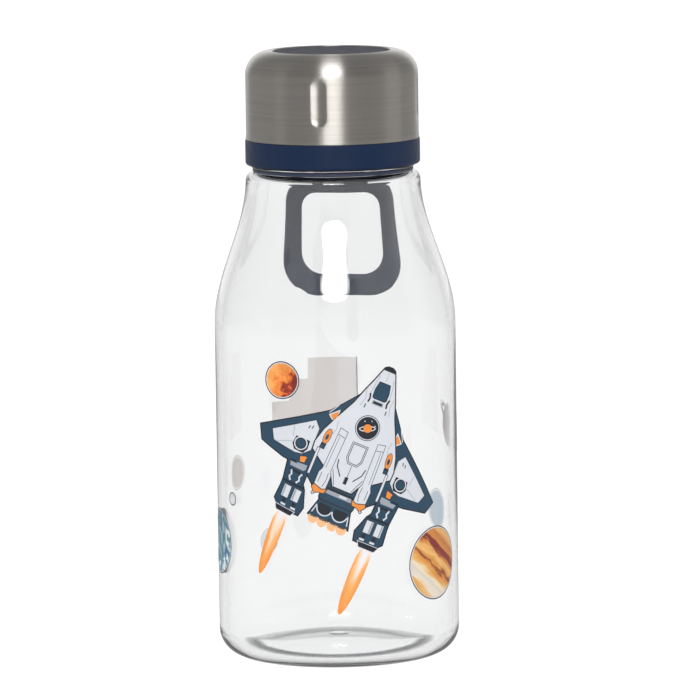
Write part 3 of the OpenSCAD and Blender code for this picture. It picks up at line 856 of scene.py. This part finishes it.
def make_strap():
    """Neck ring, stem and loop as one silicone moulding."""
    bm = bmesh.new()
    middle_z = (RING_LOW_Z + RING_HIGH_Z) / 2
    inner = NECK_R + 0.25 * MM
    half_w, half_h = (RING_R - inner) / 2, (RING_HIGH_Z - RING_LOW_Z) / 2
    ring_section = [(inner + half_w * (1 + x), middle_z + half_h * z) for x, z in squircle(24, 4)]
    lathe(bm, ring_section, even_angles(160))
    loop_frame(bm)
    stem(bm)
    strap = finish_mesh("carry_strap", bm, [silicone("navy_silicone", srgb(34, 44, 70), 0.1)])
    remesh = strap.modifiers.new("remesh", "REMESH")
    remesh.mode = "VOXEL"
    remesh.voxel_size = 0.28 * MM
    smooth = strap.modifiers.new("smooth", "SMOOTH")
    smooth.factor = 0.5
    smooth.iterations = 6
    apply_modifiers(strap)
    strap.data.polygons.foreach_set("use_smooth", [True] * len(strap.data.polygons))
    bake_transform(strap)
    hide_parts("strap_ring", "carry_loop")


# ------------------------------------------------------------------ printed artwork

ART_MAP = "art"
ART_UNIT = 10.0
FILM_R = BODY_R + 0.02 * MM
LAYER_T = 0.012 * MM
CUT_STEP = 1.0
SHIP_LEAN = math.radians(24)

# Drawings are flat, in millimetres: (round the wall, up it). Their layers stack from level 1 up.


def disc(r, x=0.0, y=0.0, points=48):
    return [(x + r * math.cos(TAU * i / points), y + r * math.sin(TAU * i / points)) for i in range(points)]


def ellipse(rx, ry, turn, x=0.0, y=0.0, points=56):
    c, s = math.cos(turn), math.sin(turn)
    flat = [(rx * math.cos(TAU * i / points), ry * math.sin(TAU * i / points)) for i in range(points)]
    return [(x + a * c - b * s, y + a * s + b * c) for a, b in flat]


def mirrored(half):
    """Closes a half outline, drawn on the right from top to bottom, with its mirror image."""
    return half + [(-x, y) for x, y in reversed(half)]


def flipped(points):
    return [(-x, y) for x, y in reversed(points)]


def stroke(points, width):
    """An open line drawn with a pen of that width."""
    left, right = [], []
    for i, (x, y) in enumerate(points):
        ax, ay = points[max(i - 1, 0)]
        bx, by = points[min(i + 1, len(points) - 1)]
        length = math.hypot(bx - ax, by - ay)
        nx, ny = (ay - by) / length * width / 2, (bx - ax) / length * width / 2
        left.append((x + nx, y + ny))
        right.append((x - nx, y - ny))
    return left + right[::-1]


def grown(points, by):
    """The outline moved outward by a distance, corner by corner."""
    area = sum(a[0] * b[1] - b[0] * a[1] for a, b in zip(points, points[1:] + points[:1]))
    by = by if area > 0 else -by
    made = []
    for i, (x, y) in enumerate(points):
        last_x, last_y = points[i - 1]
        next_x, next_y = points[(i + 1) % len(points)]
        d1 = Vector((x - last_x, y - last_y)).normalized()
        d2 = Vector((next_x - x, next_y - y)).normalized()
        normal = Vector((d1.y + d2.y, -d1.x - d2.x))
        if normal.length < 1e-9:
            made.append((x, y))
            continue
        normal.normalize()
        reach = by / max(0.45, normal.dot(Vector((d1.y, -d1.x))))
        made.append((x + normal.x * reach, y + normal.y * reach))
    return made


def unrolled(nodes):
    """The CAD films' place: their middle's turn from the front and its height, and their half sizes, in mm."""
    points = [v.co for n in nodes for v in frame["nodes"][n].data.vertices]
    middle = sum((Vector((p.x, p.y)) for p in points), Vector((0, 0)))
    facing = math.atan2(middle.x, -middle.y)
    offs = [(math.atan2(p.x, -p.y) - facing + math.pi) % TAU - math.pi for p in points]
    heights = [p.z / MM for p in points]
    turn = facing + (min(offs) + max(offs)) / 2
    half_w = (max(offs) - min(offs)) / 2 * FILM_R / MM
    return turn, (min(heights) + max(heights)) / 2, half_w, (max(heights) - min(heights)) / 2


def lay_film(bm, outline, level, index, back_index, place):
    """One ink layer: a closed sheet from the wall up to its level, cut finely so that it can bend."""
    flat = bmesh.new()
    flat.faces.new([flat.verts.new((*place(p), 0)) for p in outline])
    flat.normal_update()
    bmesh.ops.triangulate(flat, faces=flat.faces[:])
    xs = [v.co.x for v in flat.verts]
    cut = math.floor(min(xs) / CUT_STEP) + 1
    while cut * CUT_STEP < max(xs):
        geometry = flat.verts[:] + flat.edges[:] + flat.faces[:]
        on_plane = (cut * CUT_STEP, 0, 0)
        bmesh.ops.bisect_plane(flat, geom=geometry, plane_co=on_plane, plane_no=(1, 0, 0), dist=1e-4)
        cut += 1
    bmesh.ops.recalc_face_normals(flat, faces=flat.faces)
    if sum(f.normal.z for f in flat.faces) > 0:
        bmesh.ops.reverse_faces(flat, faces=flat.faces)
    bottom, top = {}, {}
    for v in flat.verts:
        bottom[v] = bm.verts.new((v.co.x, v.co.y, 0))
        top[v] = bm.verts.new((v.co.x, v.co.y, level))
    for face in flat.faces:
        below = bm.faces.new([bottom[v] for v in face.verts])
        below.material_index = back_index
        above = bm.faces.new([top[v] for v in reversed(face.verts)])
        above.material_index = index
    for edge in flat.edges:
        if edge.is_boundary:
            a, b = edge.verts
            side = bm.faces.new((bottom[a], bottom[b], top[b], top[a]))
            side.material_index = index
    flat.free()


def make_print(name, nodes, layers, back, art_scale, place=lambda p: p):
    """Wraps a drawing's layers round the wall, centred on the CAD films that it stands for.

    layers holds (outline, level, material). place leans the drawing, and art_scale is its art map's unit.
    """
    turn, height, _, _ = unrolled(nodes)
    materials = list(dict.fromkeys([back] + [material for _, _, material in layers]))
    placed = [place(p) for outline, _, _ in layers for p in outline]
    mid_x, mid_y = ((min(values) + max(values)) / 2 for values in zip(*placed))
    bm = bmesh.new()
    art = bm.loops.layers.uv.new(ART_MAP)
    for outline, level, material in layers:
        first = len(bm.faces)
        lay_film(bm, outline, level, materials.index(material), 0, place)
        bm.faces.ensure_lookup_table()
        for face in bm.faces[first:]:
            for corner in face.loops:
                x, y = unplace(place, corner.vert.co.x, corner.vert.co.y)
                corner[art].uv = (x / art_scale, y / art_scale)
    for v in bm.verts:
        angle = turn + (v.co.x - mid_x) * MM / FILM_R
        r = FILM_R + v.co.z * LAYER_T
        z = (height + v.co.y - mid_y) * MM
        v.co = (r * math.sin(angle), -r * math.cos(angle), z)
    bm.normal_update()
    obj = linked(name, bm, materials)
    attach(obj, "bottle")
    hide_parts(*nodes)


def leaned(p, lean=SHIP_LEAN):
    c, s = math.cos(lean), math.sin(lean)
    return (p[0] * c + p[1] * s, p[1] * c - p[0] * s)


def unplace(place, x, y):
    """Undoes leaned(), so that the art map follows the upright drawing."""
    return leaned((x, y), -SHIP_LEAN) if place is leaned else (x, y)


# ------------------------------------------------------------------ the shuttle

# Nose up: (to its right, ahead of its middle), with only the right half of what is symmetrical
FUSELAGE = [
    (0.7, 32.4), (1.6, 31.9), (2.4, 30.1), (3.1, 28.3), (4.8, 24.2), (6.4, 19.8), (8.6, 15.3), (11.1, 9.7),
    (12.1, 5.7), (11.9, 3.5), (7.5, 0.5), (5, 0), (2.8, -4),
]
NACELLE_BLOCK = [(11, 4.2), (10.9, -3.6), (7.2, -6.6), (4, -6.4), (4, 0)]
NACELLE = [
    (4.7, 11.4), (6.9, 11.8), (7.2, -0.4), (7.8, -1.8), (7.7, -6.2), (4.3, -6.4), (4.3, -1.8), (4.9, -0.4),
]
NOZZLE_BLOCK = [(4.4, -2), (5, -6.4), (5, -8), (4.6, -9), (5.9, -13.8)]
STRUT = [(10.2, 4.4), (10.8, 4.4), (10.7, -3.4), (10.1, -3.4)]
WING = [(5.4, 22.9), (11.4, 15.1), (29, 2.6), (27, -1), (18.8, -2.3), (10.8, -2.3), (10.8, 2)]
WING_PANEL = [(24.9, 3.3), (14.1, 11.1), (12.4, 9.2), (12.3, 2.7), (14.2, 0.8), (16.2, 0.3), (23.4, 0.7)]
BOOSTER = [
    (10.8, -1.8), (17.3, -1.8), (16.4, -8), (16.4, -9.9), (16.8, -14.1), (15, -15.9),
    (8.6, -15.7), (8, -13.2), (9.7, -8.4), (10.6, -7.2),
]
COCKPIT = [(1.6, 27.7), (2.1, 25.4), (2, 23.4), (1.6, 23.1)]
BRACKET = [(3.9, -5.7), (5.3, -6.2), (7.7, -5.5), (8.1, -6.3), (6.9, -7.7), (5.7, -7.1), (4.3, -7)]
HATCH = [(2, 9.3), (2, 5), (1.2, 3.7)]
FLAME_X = 13.1
# Half a flame's outline, from its nozzle to its tip
FLAME_HALF = [
    (1.5, -17.2), (2, -19.5), (2.1, -23.5), (1.9, -28), (1.6, -31.5), (1.15, -34.2), (0.6, -36), (0.2, -36.5),
]
BADGE_R = 3.5
BADGE_AHEAD = 14.6
PEN = 0.38
FINE_PEN = 0.16


def pair(outline, level, material):
    """A shape and its mirror image on the ship's other side."""
    return [(outline, level, material), (flipped(outline), level, material)]


def tilted_rect(x, y, half_w, half_h, turn=0.0):
    c, s = math.cos(math.radians(turn)), math.sin(math.radians(turn))
    corners = [(-half_w, -half_h), (half_w, -half_h), (half_w, half_h), (-half_w, half_h)]
    return [(x + a * c - b * s, y + a * s + b * c) for a, b in corners]


def boxed(outline, level, fill, line, pen=FINE_PEN):
    """A filled shape over its own outline, on both sides of the ship."""
    return pair(grown(outline, pen), level, line) + pair(outline, level + 1, fill)


def pen_lines(level, rows):
    """Lines on both sides of the ship, each with its points, width and ink."""
    made = []
    for points, width, material in rows:
        made += pair(stroke(points, width), level, material)
    return made


def ship_layers(inks):
    white, teal, dark, orange, grey = (inks[k] for k in ("white", "teal", "dark", "orange", "grey"))
    flame = [(x + FLAME_X, y) for x, y in mirrored(FLAME_HALF)]
    layers = pair(flame, 1, inks["flame"])
    for x in (-4.3, -1.5, 1.5, 4.3):
        puff = [(x - 1.4, -13.6)] + arc(x, -14.6, 1.4, 180, 360, 12) + [(x + 1.4, -13.6)]
        layers.append((puff, 1, inks["puff"]))
    # One dark line runs round all the teal parts
    teals = [WING, BOOSTER, flipped(WING), flipped(BOOSTER), mirrored(NACELLE_BLOCK), mirrored(NOZZLE_BLOCK)]
    layers += [(grown(outline, PEN), 1, dark) for outline in teals]
    layers += [(outline, 2, teal) for outline in teals]
    layers += nozzle_details(white, dark, grey)
    layers += booster_details(white, dark, grey)
    layers += wing_details(white, teal, dark, orange, grey)
    layers += [(grown(mirrored(FUSELAGE), PEN), 4, dark), (mirrored(FUSELAGE), 5, white)]
    layers += hull_details(white, teal, dark, orange, grey)
    layers += nacelle_details(white, dark, orange)
    layers += badge_details(white, dark, orange)
    return layers


def nozzle_details(white, dark, grey):
    """The collar under the hull, and two bells between white arcs in the nozzle block."""
    made = [(tilted_rect(0, -5.2, 4.1, 0.45), 3, dark), (tilted_rect(0, -6, 3.9, 0.55), 4, grey)]
    made += [(tilted_rect(1.2, -5.9, 1.1, 0.3), 5, white), (tilted_rect(0, -8.7, 4.7, 0.16), 3, dark)]
    for x in (-2.3, 2.3):
        bell = arc(x, -10.6, 1.9, 180, 360, 14)
        made += [(bell, 3, dark), (stroke(arc(x, -10.6, 2.2, 186, 354, 14), 0.34), 4, white)]
        made.append((tilted_rect(x, -10.1, 1.9, 0.5), 3, dark))
    made += pair(stroke([(4.7, -10.4), (5.3, -13)], 0.3), 3, white)
    made.append((tilted_rect(0, -13.3, 0.16, 0.6), 3, dark))
    return made


def booster_details(white, dark, grey):
    """A pylon with two white braces, and a pod with two tanks and a nozzle, on each side."""
    made = pair([(11.6, -2.4), (16.4, -2.4), (16, -3.6), (11.8, -3.6)], 3, grey)
    made += pair(tilted_rect(13.7, -4.6, 2.1, 0.35), 3, dark)
    for x, way in ((11.8, 1), (15.2, -1)):
        brace = [(x, -4.6), (x + 0.5 * way, -5.8), (x + 0.1 * way, -6.6), (x + 0.8 * way, -7.6)]
        made += pair(stroke(brace, 0.5), 4, white)
    made += pair(tilted_rect(13.2, -8.2, 3.4, 0.3), 4, dark)
    for x in (11.1, 14.3):
        tank = tilted_rect(x, -10.9, 1.05, 1.75)
        made += boxed(tank, 3, white, dark)
        made += pair(tilted_rect(x + 0.65, -10.9, 0.25, 1.6), 5, grey)
        made += pair(tilted_rect(x - 0.35, -13.6, 0.55, 0.5), 4, dark)
        made += pair(tilted_rect(x - 0.5, -14.7, 0.75, 0.28), 4, white)
    made += boxed([(9.8, -15.5), (16, -15.5), (15.2, -16.9), (10.6, -16.9)], 3, dark, white)
    return made


def wing_details(white, teal, dark, orange, grey):
    """A white panel with a round port, fold lines and tabs on each wing."""
    made = boxed(WING_PANEL, 3, white, dark)
    for fold in ([(19.2, 7.3), (18.4, 4.2)], [(22.2, 0.9), (18.2, 2.9)]):
        made += pair(stroke(fold, FINE_PEN), 5, grey)
    for x in (14.2, 15.1):
        made += pair(tilted_rect(x, 8.9 - 0.35 * (x - 14.2), 0.14, 0.5, 10), 5, dark)
    made += pair([(13.4, 5), (17.6, 4.8), (17.9, 2.4), (16.8, 1), (14, 1), (13.2, 2.6)], 5, dark)
    made += pair(disc(1.95, 15.6, 3.3, 32), 6, white) + pair(disc(1.6, 15.6, 3.3, 30), 7, dark)
    made += pair(disc(1.3, 15.6, 3.3, 28), 8, teal)
    made += pair(stroke([(9.9, 17.5), (11.6, 14.6)], 0.24), 3, white)
    made += boxed([(9.3, 15.9), (11.1, 14.1), (9.6, 12.9), (8.9, 13.6)], 3, orange, white, 0.3)
    made += boxed([(12.4, 0.5), (14.3, 0), (13.9, -1.5), (12.6, -1.3)], 5, orange, dark)
    made += pair([(11.4, -1.7), (14.6, -2), (13.4, -3.6), (11.4, -3.2)], 5, grey)
    return made


def hull_details(white, teal, dark, orange, grey):
    """Cockpit, nose cap, panel lines, hatch, vent and side pods on the hull."""
    made = [(mirrored([(0.7, 32.4), (1.6, 31.9), (1.9, 31.3)]), 6, dark)]
    made += [(stroke([(0, 31), (0, 28.4)], 0.14), 6, grey)]
    made += [(grown(mirrored(COCKPIT), 0.26), 6, dark), (mirrored(COCKPIT), 7, teal)]
    made += [(grown(tilted_rect(0, 21.9, 1.5, 0.4), 0.2), 6, grey)]
    made += [(tilted_rect(0, 21.9, 1.4, 0.34), 7, dark)]
    made += pen_lines(6, [
        ([(2.2, 29.6), (2.7, 27.4), (3, 24.2)], FINE_PEN, grey),
        ([(3.1, 24), (2.7, 22.6), (2.9, 21.4)], 0.5, dark),
        ([(3.3, 20.8), (3.3, 19.6)], 0.3, dark),
        ([(4.4, 24.4), (3.9, 22.2), (4.6, 19.6)], FINE_PEN, grey),
    ])
    hatch = mirrored(HATCH)
    made += [(grown(hatch, 0.42), 6, dark), (grown(hatch, 0.24), 7, white), (hatch, 8, dark)]
    made += [(grown(hatch, -0.2), 9, white)]
    made += [(stroke([(0, 3.1), (0, -0.2)], FINE_PEN), 6, dark), (tilted_rect(0, -1.3, 0.5, 1.05), 6, dark)]
    made += pen_lines(6, [
        ([(4.1, 3.6), (3.7, 1.6), (1.9, -0.8)], 0.3, dark),
        ([(2.6, -3.8), (3.6, -1.4), (4.5, 0.4)], FINE_PEN, dark),
    ])
    made += boxed(ellipse(0.85, 2.2, math.radians(4), 9.5, 8.2, 32), 6, orange, dark)
    made += pair(ellipse(0.4, 0.9, math.radians(4), 9.5, 8, 24), 8, teal)
    made += pair(tilted_rect(9.7, 5.3, 0.75, 0.85, 4), 8, dark)
    made += pair(tilted_rect(9.7, 5.1, 0.55, 0.5, 4), 9, teal)
    return made + pair(stroke([(8.4, 13.4), (8, 11.2), (8.6, 8.8)], FINE_PEN), 6, grey)


def nacelle_details(white, dark, orange):
    """A long white nacelle each side of the spine, with its strut and an orange bracket at its foot."""
    made = boxed(NACELLE, 6, white, dark) + boxed(STRUT, 6, white, dark)
    made += pen_lines(8, [
        ([(4.8, 9.6), (6.9, 10)], FINE_PEN, dark),
        ([(6.3, 9.6), (6.5, 0)], 0.12, dark),
        ([(5.2, -1.2), (5, -3.4), (5.4, -5.4)], FINE_PEN, dark),
        ([(7, -1.6), (7, -4.6)], FINE_PEN, dark),
    ])
    made += boxed(BRACKET, 8, orange, dark, 0.24)
    made += pair(disc(0.5, 7.2, -7.9, 16), 8, dark) + pair(disc(0.28, 7.2, -7.9, 14), 9, white)
    return made


def badge_details(white, dark, orange):
    """A round badge with a ringed planet and three stars."""
    y = BADGE_AHEAD
    tilt = math.radians(22)
    made = [(disc(BADGE_R + 0.1, 0, y), 6, dark), (disc(BADGE_R - 0.1, 0, y), 7, white)]
    made += [(disc(BADGE_R - 0.35, 0, y), 8, dark)]
    made += [(ellipse(2.4, 0.8, tilt, 0, y - 0.2), 9, white), (ellipse(2.1, 0.5, tilt, 0, y - 0.2), 10, dark)]
    made += [(disc(1.2, 0, y - 0.1, 28), 11, orange)]
    for sx, sy in ((-1.5, 1.5), (0.4, 2.2), (1.8, 1.2)):
        made += [(tilted_rect(sx, y + sy, 0.16, 0.16, 45), 9, white)]
    return made


# ------------------------------------------------------------------ the planets and the panel

# Inks: a name, a display colour and how uneven the ink is
SHIP_INKS = {
    "white": ("ink_white", (203, 206, 212), 0.03),
    "teal": ("ink_teal", (40, 68, 88), 0.12),
    "dark": ("ink_dark", (34, 38, 46), 0.06),
    "orange": ("ink_orange", (226, 138, 62), 0.12),
    "grey": ("ink_grey", (150, 156, 166), 0.06),
    "puff": ("ink_puff", (236, 182, 134), 0.1),
}
BACK_INKS = {
    "plain": ("ink_back_plain", (236, 236, 238), 0.06),
    "warm": ("ink_back_warm", (222, 216, 212), 0.06),
    "blue": ("ink_back_blue", (178, 190, 202), 0.06),
}
THIN_INKS = {
    "plain": ("ink_thin_plain", (250, 250, 250), 0.02),
    "warm": ("ink_thin_warm", (232, 225, 222), 0.02),
    "grey": ("ink_thin_grey", (236, 230, 228), 0.02),
    "blue": ("ink_thin_blue", (206, 222, 236), 0.02),
    "rim": ("ink_thin_rim", (70, 76, 88), 0.05),
    "white": ("ink_thin_white", (244, 244, 244), 0.02),
}
# A planet's colours: (pattern value, red, green, blue)
RED_STOPS = [
    (0.30, 240, 166, 92), (0.50, 226, 130, 58), (0.58, 206, 98, 48), (0.63, 142, 52, 38), (0.80, 120, 42, 34),
]
BANDED_STOPS = [
    (0.0, 206, 140, 66), (0.08, 220, 168, 98), (0.14, 222, 210, 192), (0.22, 204, 196, 186),
    (0.30, 226, 210, 180), (0.36, 216, 164, 92), (0.42, 206, 132, 62), (0.45, 118, 48, 36),
    (0.48, 206, 140, 70), (0.56, 228, 182, 112), (0.62, 206, 130, 62), (0.66, 120, 44, 40),
    (0.73, 136, 54, 46), (0.76, 208, 138, 68), (0.84, 190, 116, 60), (0.92, 226, 176, 110), (1.0, 206, 150, 92),
]
BLUE_STOPS = [
    (0.36, 44, 88, 126), (0.45, 70, 124, 166), (0.49, 104, 142, 108), (0.53, 112, 156, 184),
    (0.58, 226, 234, 238), (0.68, 238, 240, 242),
]
RINGED_STOPS = [(0.3, 214, 196, 160), (0.5, 160, 140, 112), (0.66, 98, 88, 80)]
MOON_STOPS = [(0.35, 232, 232, 232), (0.6, 196, 198, 202)]
SMALL_STOPS = [(0.35, 248, 248, 248), (0.6, 238, 238, 240)]
GREY_STOPS = [(0.35, 236, 228, 218), (0.65, 218, 204, 188)]
PALE_STOPS = [(0.35, 196, 218, 232), (0.65, 176, 202, 222)]


def planet_layers(r, rim, gap, face, line=0.3, space=0.25):
    """A planet with a thin dark rim and a pale gap inside it."""
    layers = [(disc(r, points=64), 1, rim), (disc(r - line, points=64), 2, gap)]
    return layers + [(disc(r - line - space, points=64), 3, face)]


def hoop(loop, width, level, material):
    """A closed line, drawn as two half strokes that meet."""
    half = len(loop) // 2
    halves = (loop[: half + 1], loop[half:] + loop[:1])
    return [(stroke(points, width), level, material) for points in halves]


def thin_planet_layers(r, rim, face, line=0.22, space=0.35):
    """A see-through planet: nothing but its face and its rim."""
    return hoop(disc(r - line / 2, points=64), line, 1, rim) + [(disc(r - line - space, points=64), 1, face)]


def make_inks(table, through=0.0):
    """The inks of a table, by their short names."""
    return {key: ink(name, srgb(*colour), uneven, through) for key, (name, colour, uneven) in table.items()}


def make_prints():
    ship, backs, thin = make_inks(SHIP_INKS), make_inks(BACK_INKS), make_inks(THIN_INKS, THIN_INK)
    ship["flame"] = flame_ink()
    ship_nodes = ("print_ship_hull", "print_ship_trim", "print_ship_flames")
    make_print("print_shuttle", ship_nodes, ship_layers(ship), backs["plain"], ART_UNIT, leaned)

    red = planet_ink("ink_red_planet", patches(2.1, (0.22, -0.16)), RED_STOPS, 0.25)
    banded = planet_ink("ink_banded_planet", bands(math.radians(-37), 0.09), BANDED_STOPS, 0.1)
    blue = planet_ink("ink_blue_planet", swirls(1.5), BLUE_STOPS, 0.2)
    ringed = planet_ink("ink_ringed_planet", bands(math.radians(-30), 0.05), RINGED_STOPS, 0.2, 0.3)
    moon = planet_ink("ink_moon", patches(2.3), MOON_STOPS, 0.2)
    faint = planet_ink("ink_faint", patches(2.3), SMALL_STOPS, 0.1, THIN_INK)
    dusky = planet_ink("ink_pale_grey", swirls(1.2), GREY_STOPS, 0.1, THIN_INK)
    icy = planet_ink("ink_pale_blue", swirls(1.2), PALE_STOPS, 0.1, THIN_INK)
    for name, node, slot, face, back in (
        ("print_planet_red", "print_red_planet", "ink_red_planet", red, backs["warm"]),
        ("print_planet_banded", "print_banded_planet", "ink_banded_planet", banded, backs["warm"]),
        ("print_planet_blue", "print_blue_planet", "ink_blue_planet", blue, backs["blue"]),
        ("print_planet_grey", "print_grey_planet", "ink_pale_grey", dusky, thin["grey"]),
        ("print_planet_pale", "print_pale_planet", "ink_pale_blue", icy, thin["blue"]),
        ("print_planet_small", "print_small_planet", "ink_moon", faint, thin["plain"]),
        ("print_moon_disc", "print_moon", "ink_moon", moon, backs["plain"]),
    ):
        r = unrolled([node])[3]
        if back in thin.values():
            layers = thin_planet_layers(r, thin["rim"], face)
        else:
            layers = planet_layers(r, ship["dark"], ship["white"], face)
        make_print(name, [node], layers, back, r)
    make_ringed(thin["rim"], ringed, thin["grey"])
    make_panel(thin["rim"], thin["white"], dusky, thin["warm"])


def make_ringed(rim, face, back):
    """The ringed planet: a banded disc inside two tilted rings."""
    tilt = math.radians(40)
    r = 6.2
    ring_half_w, ring_half_h = 9.45, 2.45
    layers = [(disc(r - 0.3, points=56), 1, face)] + hoop(disc(r - 0.1, points=56), 0.2, 1, rim)
    for size, width, material in ((1.0, 0.25, rim), (0.86, 0.9, face)):
        layers += hoop(ellipse(ring_half_w * size, ring_half_h * size, tilt), width, 2, material)
    make_print("print_planet_ringed", ["print_ringed_planet"], layers, back, r)


def make_panel(line, pale, bar, back):
    """The stepped panel on the back: a warm block with two plain bars, beside a paler upright strip."""
    _, _, half_w, half_h = unrolled(["print_back_panel"])
    step = 6.0
    strip_w = 5.5
    left = strip_w - half_w
    steps = [(left, -half_h), (half_w, -half_h)]
    for i in range(2):
        y = half_h - (2 - i) * step
        steps += [(half_w - i * step, y), (half_w - (i + 1) * step, y)]
    steps += [(half_w - 2 * step, half_h), (left, half_h)]
    layers = [(steps, 1, back), (tilted_rect(strip_w / 2 - half_w, 0, strip_w / 2, half_h), 1, pale)]
    layers.append((tilted_rect(0.15 - half_w, 0, 0.15, half_h), 2, line))
    for drop in (17.6, 21.2):
        layers.append((tilted_rect(2.5, half_h - drop, 5, 0.4), 2, bar))
    make_print("print_panel", ["print_back_panel"], layers, back, ART_UNIT)


# ------------------------------------------------------------------ stage, lights and camera

CAMERA_AZIMUTH = math.radians(4.5)
CAMERA_DISTANCE = 1.720
CAMERA_HEIGHT = 0.299
CAMERA_ROLL = -0.0139
CAMERA_LENS = 315.5
AIM = (0.0041, 0.0860)
FLOOR_FRONT = 1.5
FLOOR_BACK = 5.0
FLOOR_GLOW = 0.98
FLOOR_DIM = 0.3
# A painted contact shadow, a dark ring on the floor where the body stands: its radius, how far it fades, and how
# bright it stays
CONTACT_SHADOW_R = 25 * MM
CONTACT_SHADOW_FADE = 4 * MM
CONTACT_SHADOW_GLOW = 0.02
BACKDROP_GLOW = 1.04
INSIDE_WALL_SHARE = 0.75
ROOM_BRIGHT = 0.34
ROOM_DIM = 0.25
LIT_POINT = (0, 0, 0.11)
# Each area light: how far off it stands, its turn from the camera in degrees, its height, size and power
LIGHTS = (
    ("front_box", 1.3, 0, 0.87, (0.6, 0.32), 5.6),
    ("front_box_end", 1.3, 0, 0.81, (0.74, 0.34), 5.6),
    ("high_box", 0.86, 0, 1.21, (0.5, 0.96), 2.5),
    ("front_fill", 1.1, 0, 0.45, (0.7, 0.9), 5.0),
    ("left_fill", 1.1, -80, 0.45, (0.7, 0.9), 4.0),
    ("right_fill", 1.1, 80, 0.45, (0.7, 0.9), 4.0),
    ("left_back_fill", 1.1, -125, 0.45, (0.7, 0.9), 4.0),
    ("right_back_fill", 1.1, 125, 0.45, (0.7, 0.9), 4.0),
    ("left_panel", 1.2, -73, 0.3, (0.34, 0.9), 0.10),
    ("right_panel", 1.2, 90, 0.3, (0.6, 0.9), 0.36),
)


def from_front(distance, azimuth, height):
    """A place by its distance and turn from the front, as the camera's azimuth counts them."""
    return Vector((distance * math.sin(azimuth), -distance * math.cos(azimuth), height))


def make_camera():
    camera = bpy.data.objects.new("camera", bpy.data.cameras.new("camera"))
    bpy.context.scene.collection.objects.link(camera)
    camera.data.lens = CAMERA_LENS
    camera.data.sensor_width = 36
    camera.data.clip_start = 0.05
    camera.data.clip_end = 30
    camera.location = from_front(CAMERA_DISTANCE, CAMERA_AZIMUTH, CAMERA_HEIGHT)
    right = Vector((math.cos(CAMERA_AZIMUTH), math.sin(CAMERA_AZIMUTH), 0))
    target = right * AIM[0] + Vector((0, 0, AIM[1]))
    turned = (target - camera.location).to_track_quat("-Z", "Y")
    camera.rotation_mode = "QUATERNION"
    camera.rotation_quaternion = turned @ Euler((0, 0, CAMERA_ROLL)).to_quaternion()
    bpy.context.scene.camera = camera


def mirrored_ray(tree):
    """How far light comes from the room: 0 for a direct view or a view straight through clear walls, 1 for
    light that a surface mirrors or scatters, and in between for light mirrored inside the clear walls."""
    path = add(tree, "LightPath").node.outputs
    direct = calc(tree, "MAXIMUM", path["Is Camera Ray"], path["Is Transmission Ray"])
    unscattered = calc(tree, "LESS_THAN", path["Diffuse Depth"], 0.5)
    share = remap(tree, path["Glossy Depth"], 0, 1, 1.0, INSIDE_WALL_SHARE)
    seen = calc(tree, "MULTIPLY", calc(tree, "MULTIPLY", direct, unscattered), share)
    return calc(tree, "SUBTRACT", 1.0, seen)


def make_floor():
    """A plain white floor with a painted contact shadow where the body stands: it fills the view behind the
    bottle, and ends in front where the room is dim.
    """
    bm = bmesh.new()
    outline = arc(0, 0, FLOOR_FRONT, 180, 360, 48) + arc(0, 0, FLOOR_BACK, 0, 180, 48)
    bm.faces.new([bm.verts.new((x, y, 0)) for x, y in outline])
    material, tree, shader = new_material("floor", Roughness=0.9, Base_Color=(0.15, 0.15, 0.15, 1))
    shader.inputs["Emission Color"].default_value = (1, 1, 1, 1)
    # Painted contact shadow: the floor's glow drops to near nothing in a ring under the body's standing ring
    off_ring = calc(tree, "ABSOLUTE", calc(tree, "SUBTRACT", off_axis(tree)[1], CONTACT_SHADOW_R))
    lit = remap(tree, off_ring, 0.5 * MM, CONTACT_SHADOW_FADE, CONTACT_SHADOW_GLOW, FLOOR_GLOW, smooth=True)
    level = remap(tree, mirrored_ray(tree), 0, 1, lit, FLOOR_DIM)
    tree.links.new(level, shader.inputs["Emission Strength"])
    floor = finish_mesh("floor", bm, [material])
    floor.location.z = -0.05 * MM


def area_light(name, distance, turn, height, size, power):
    """A rectangular light aimed at the bottle."""
    light = bpy.data.lights.new(name, "AREA")
    light.shape = "RECTANGLE"
    light.size, light.size_y = size
    light.energy = power
    obj = bpy.data.objects.new(name, light)
    obj.location = from_front(distance, CAMERA_AZIMUTH + math.radians(turn), height)
    obj.rotation_mode = "QUATERNION"
    obj.rotation_quaternion = (Vector(LIT_POINT) - obj.location).to_track_quat("-Z", "Y")
    bpy.context.scene.collection.objects.link(obj)
    obj.visible_camera = False
    return obj


def make_lights():
    """Box lights over the camera, dim panels at the sides, and fills that only matt surfaces show."""
    lamps = {row[0]: area_light(*row) for row in LIGHTS}
    lamps["front_box_end"].data.shape = "ELLIPSE"
    for name, lamp in lamps.items():
        if name.endswith("fill"):
            lamp.visible_glossy = False
            lamp.visible_transmission = False


def make_room():
    """A pale room, brighter at the back and the sides, with a white backdrop."""
    world = bpy.data.worlds.new("world")
    bpy.context.scene.world = world
    world.use_nodes = True
    tree = world.node_tree
    frontness = dot(tree, add(tree, "TexCoord", output="Generated"), from_front(1, CAMERA_AZIMUTH, 0))
    room = remap(tree, frontness, 0.15, 0.6, ROOM_BRIGHT, ROOM_DIM, smooth=True)
    room = remap(tree, frontness, -0.95, -0.75, BACKDROP_GLOW, room, smooth=True)
    background = tree.nodes["Background"]
    background.inputs["Color"].default_value = (1, 1, 1, 1)
    level = remap(tree, mirrored_ray(tree), 0, 1, BACKDROP_GLOW, room)
    tree.links.new(level, background.inputs["Strength"])


bpy.context.scene.view_settings.view_transform = "Standard"
make_camera()
make_floor()
make_lights()
make_room()
make_bottle()
make_steel_cap()
make_liner()
make_disc()
make_seal()
make_strap()
make_prints()
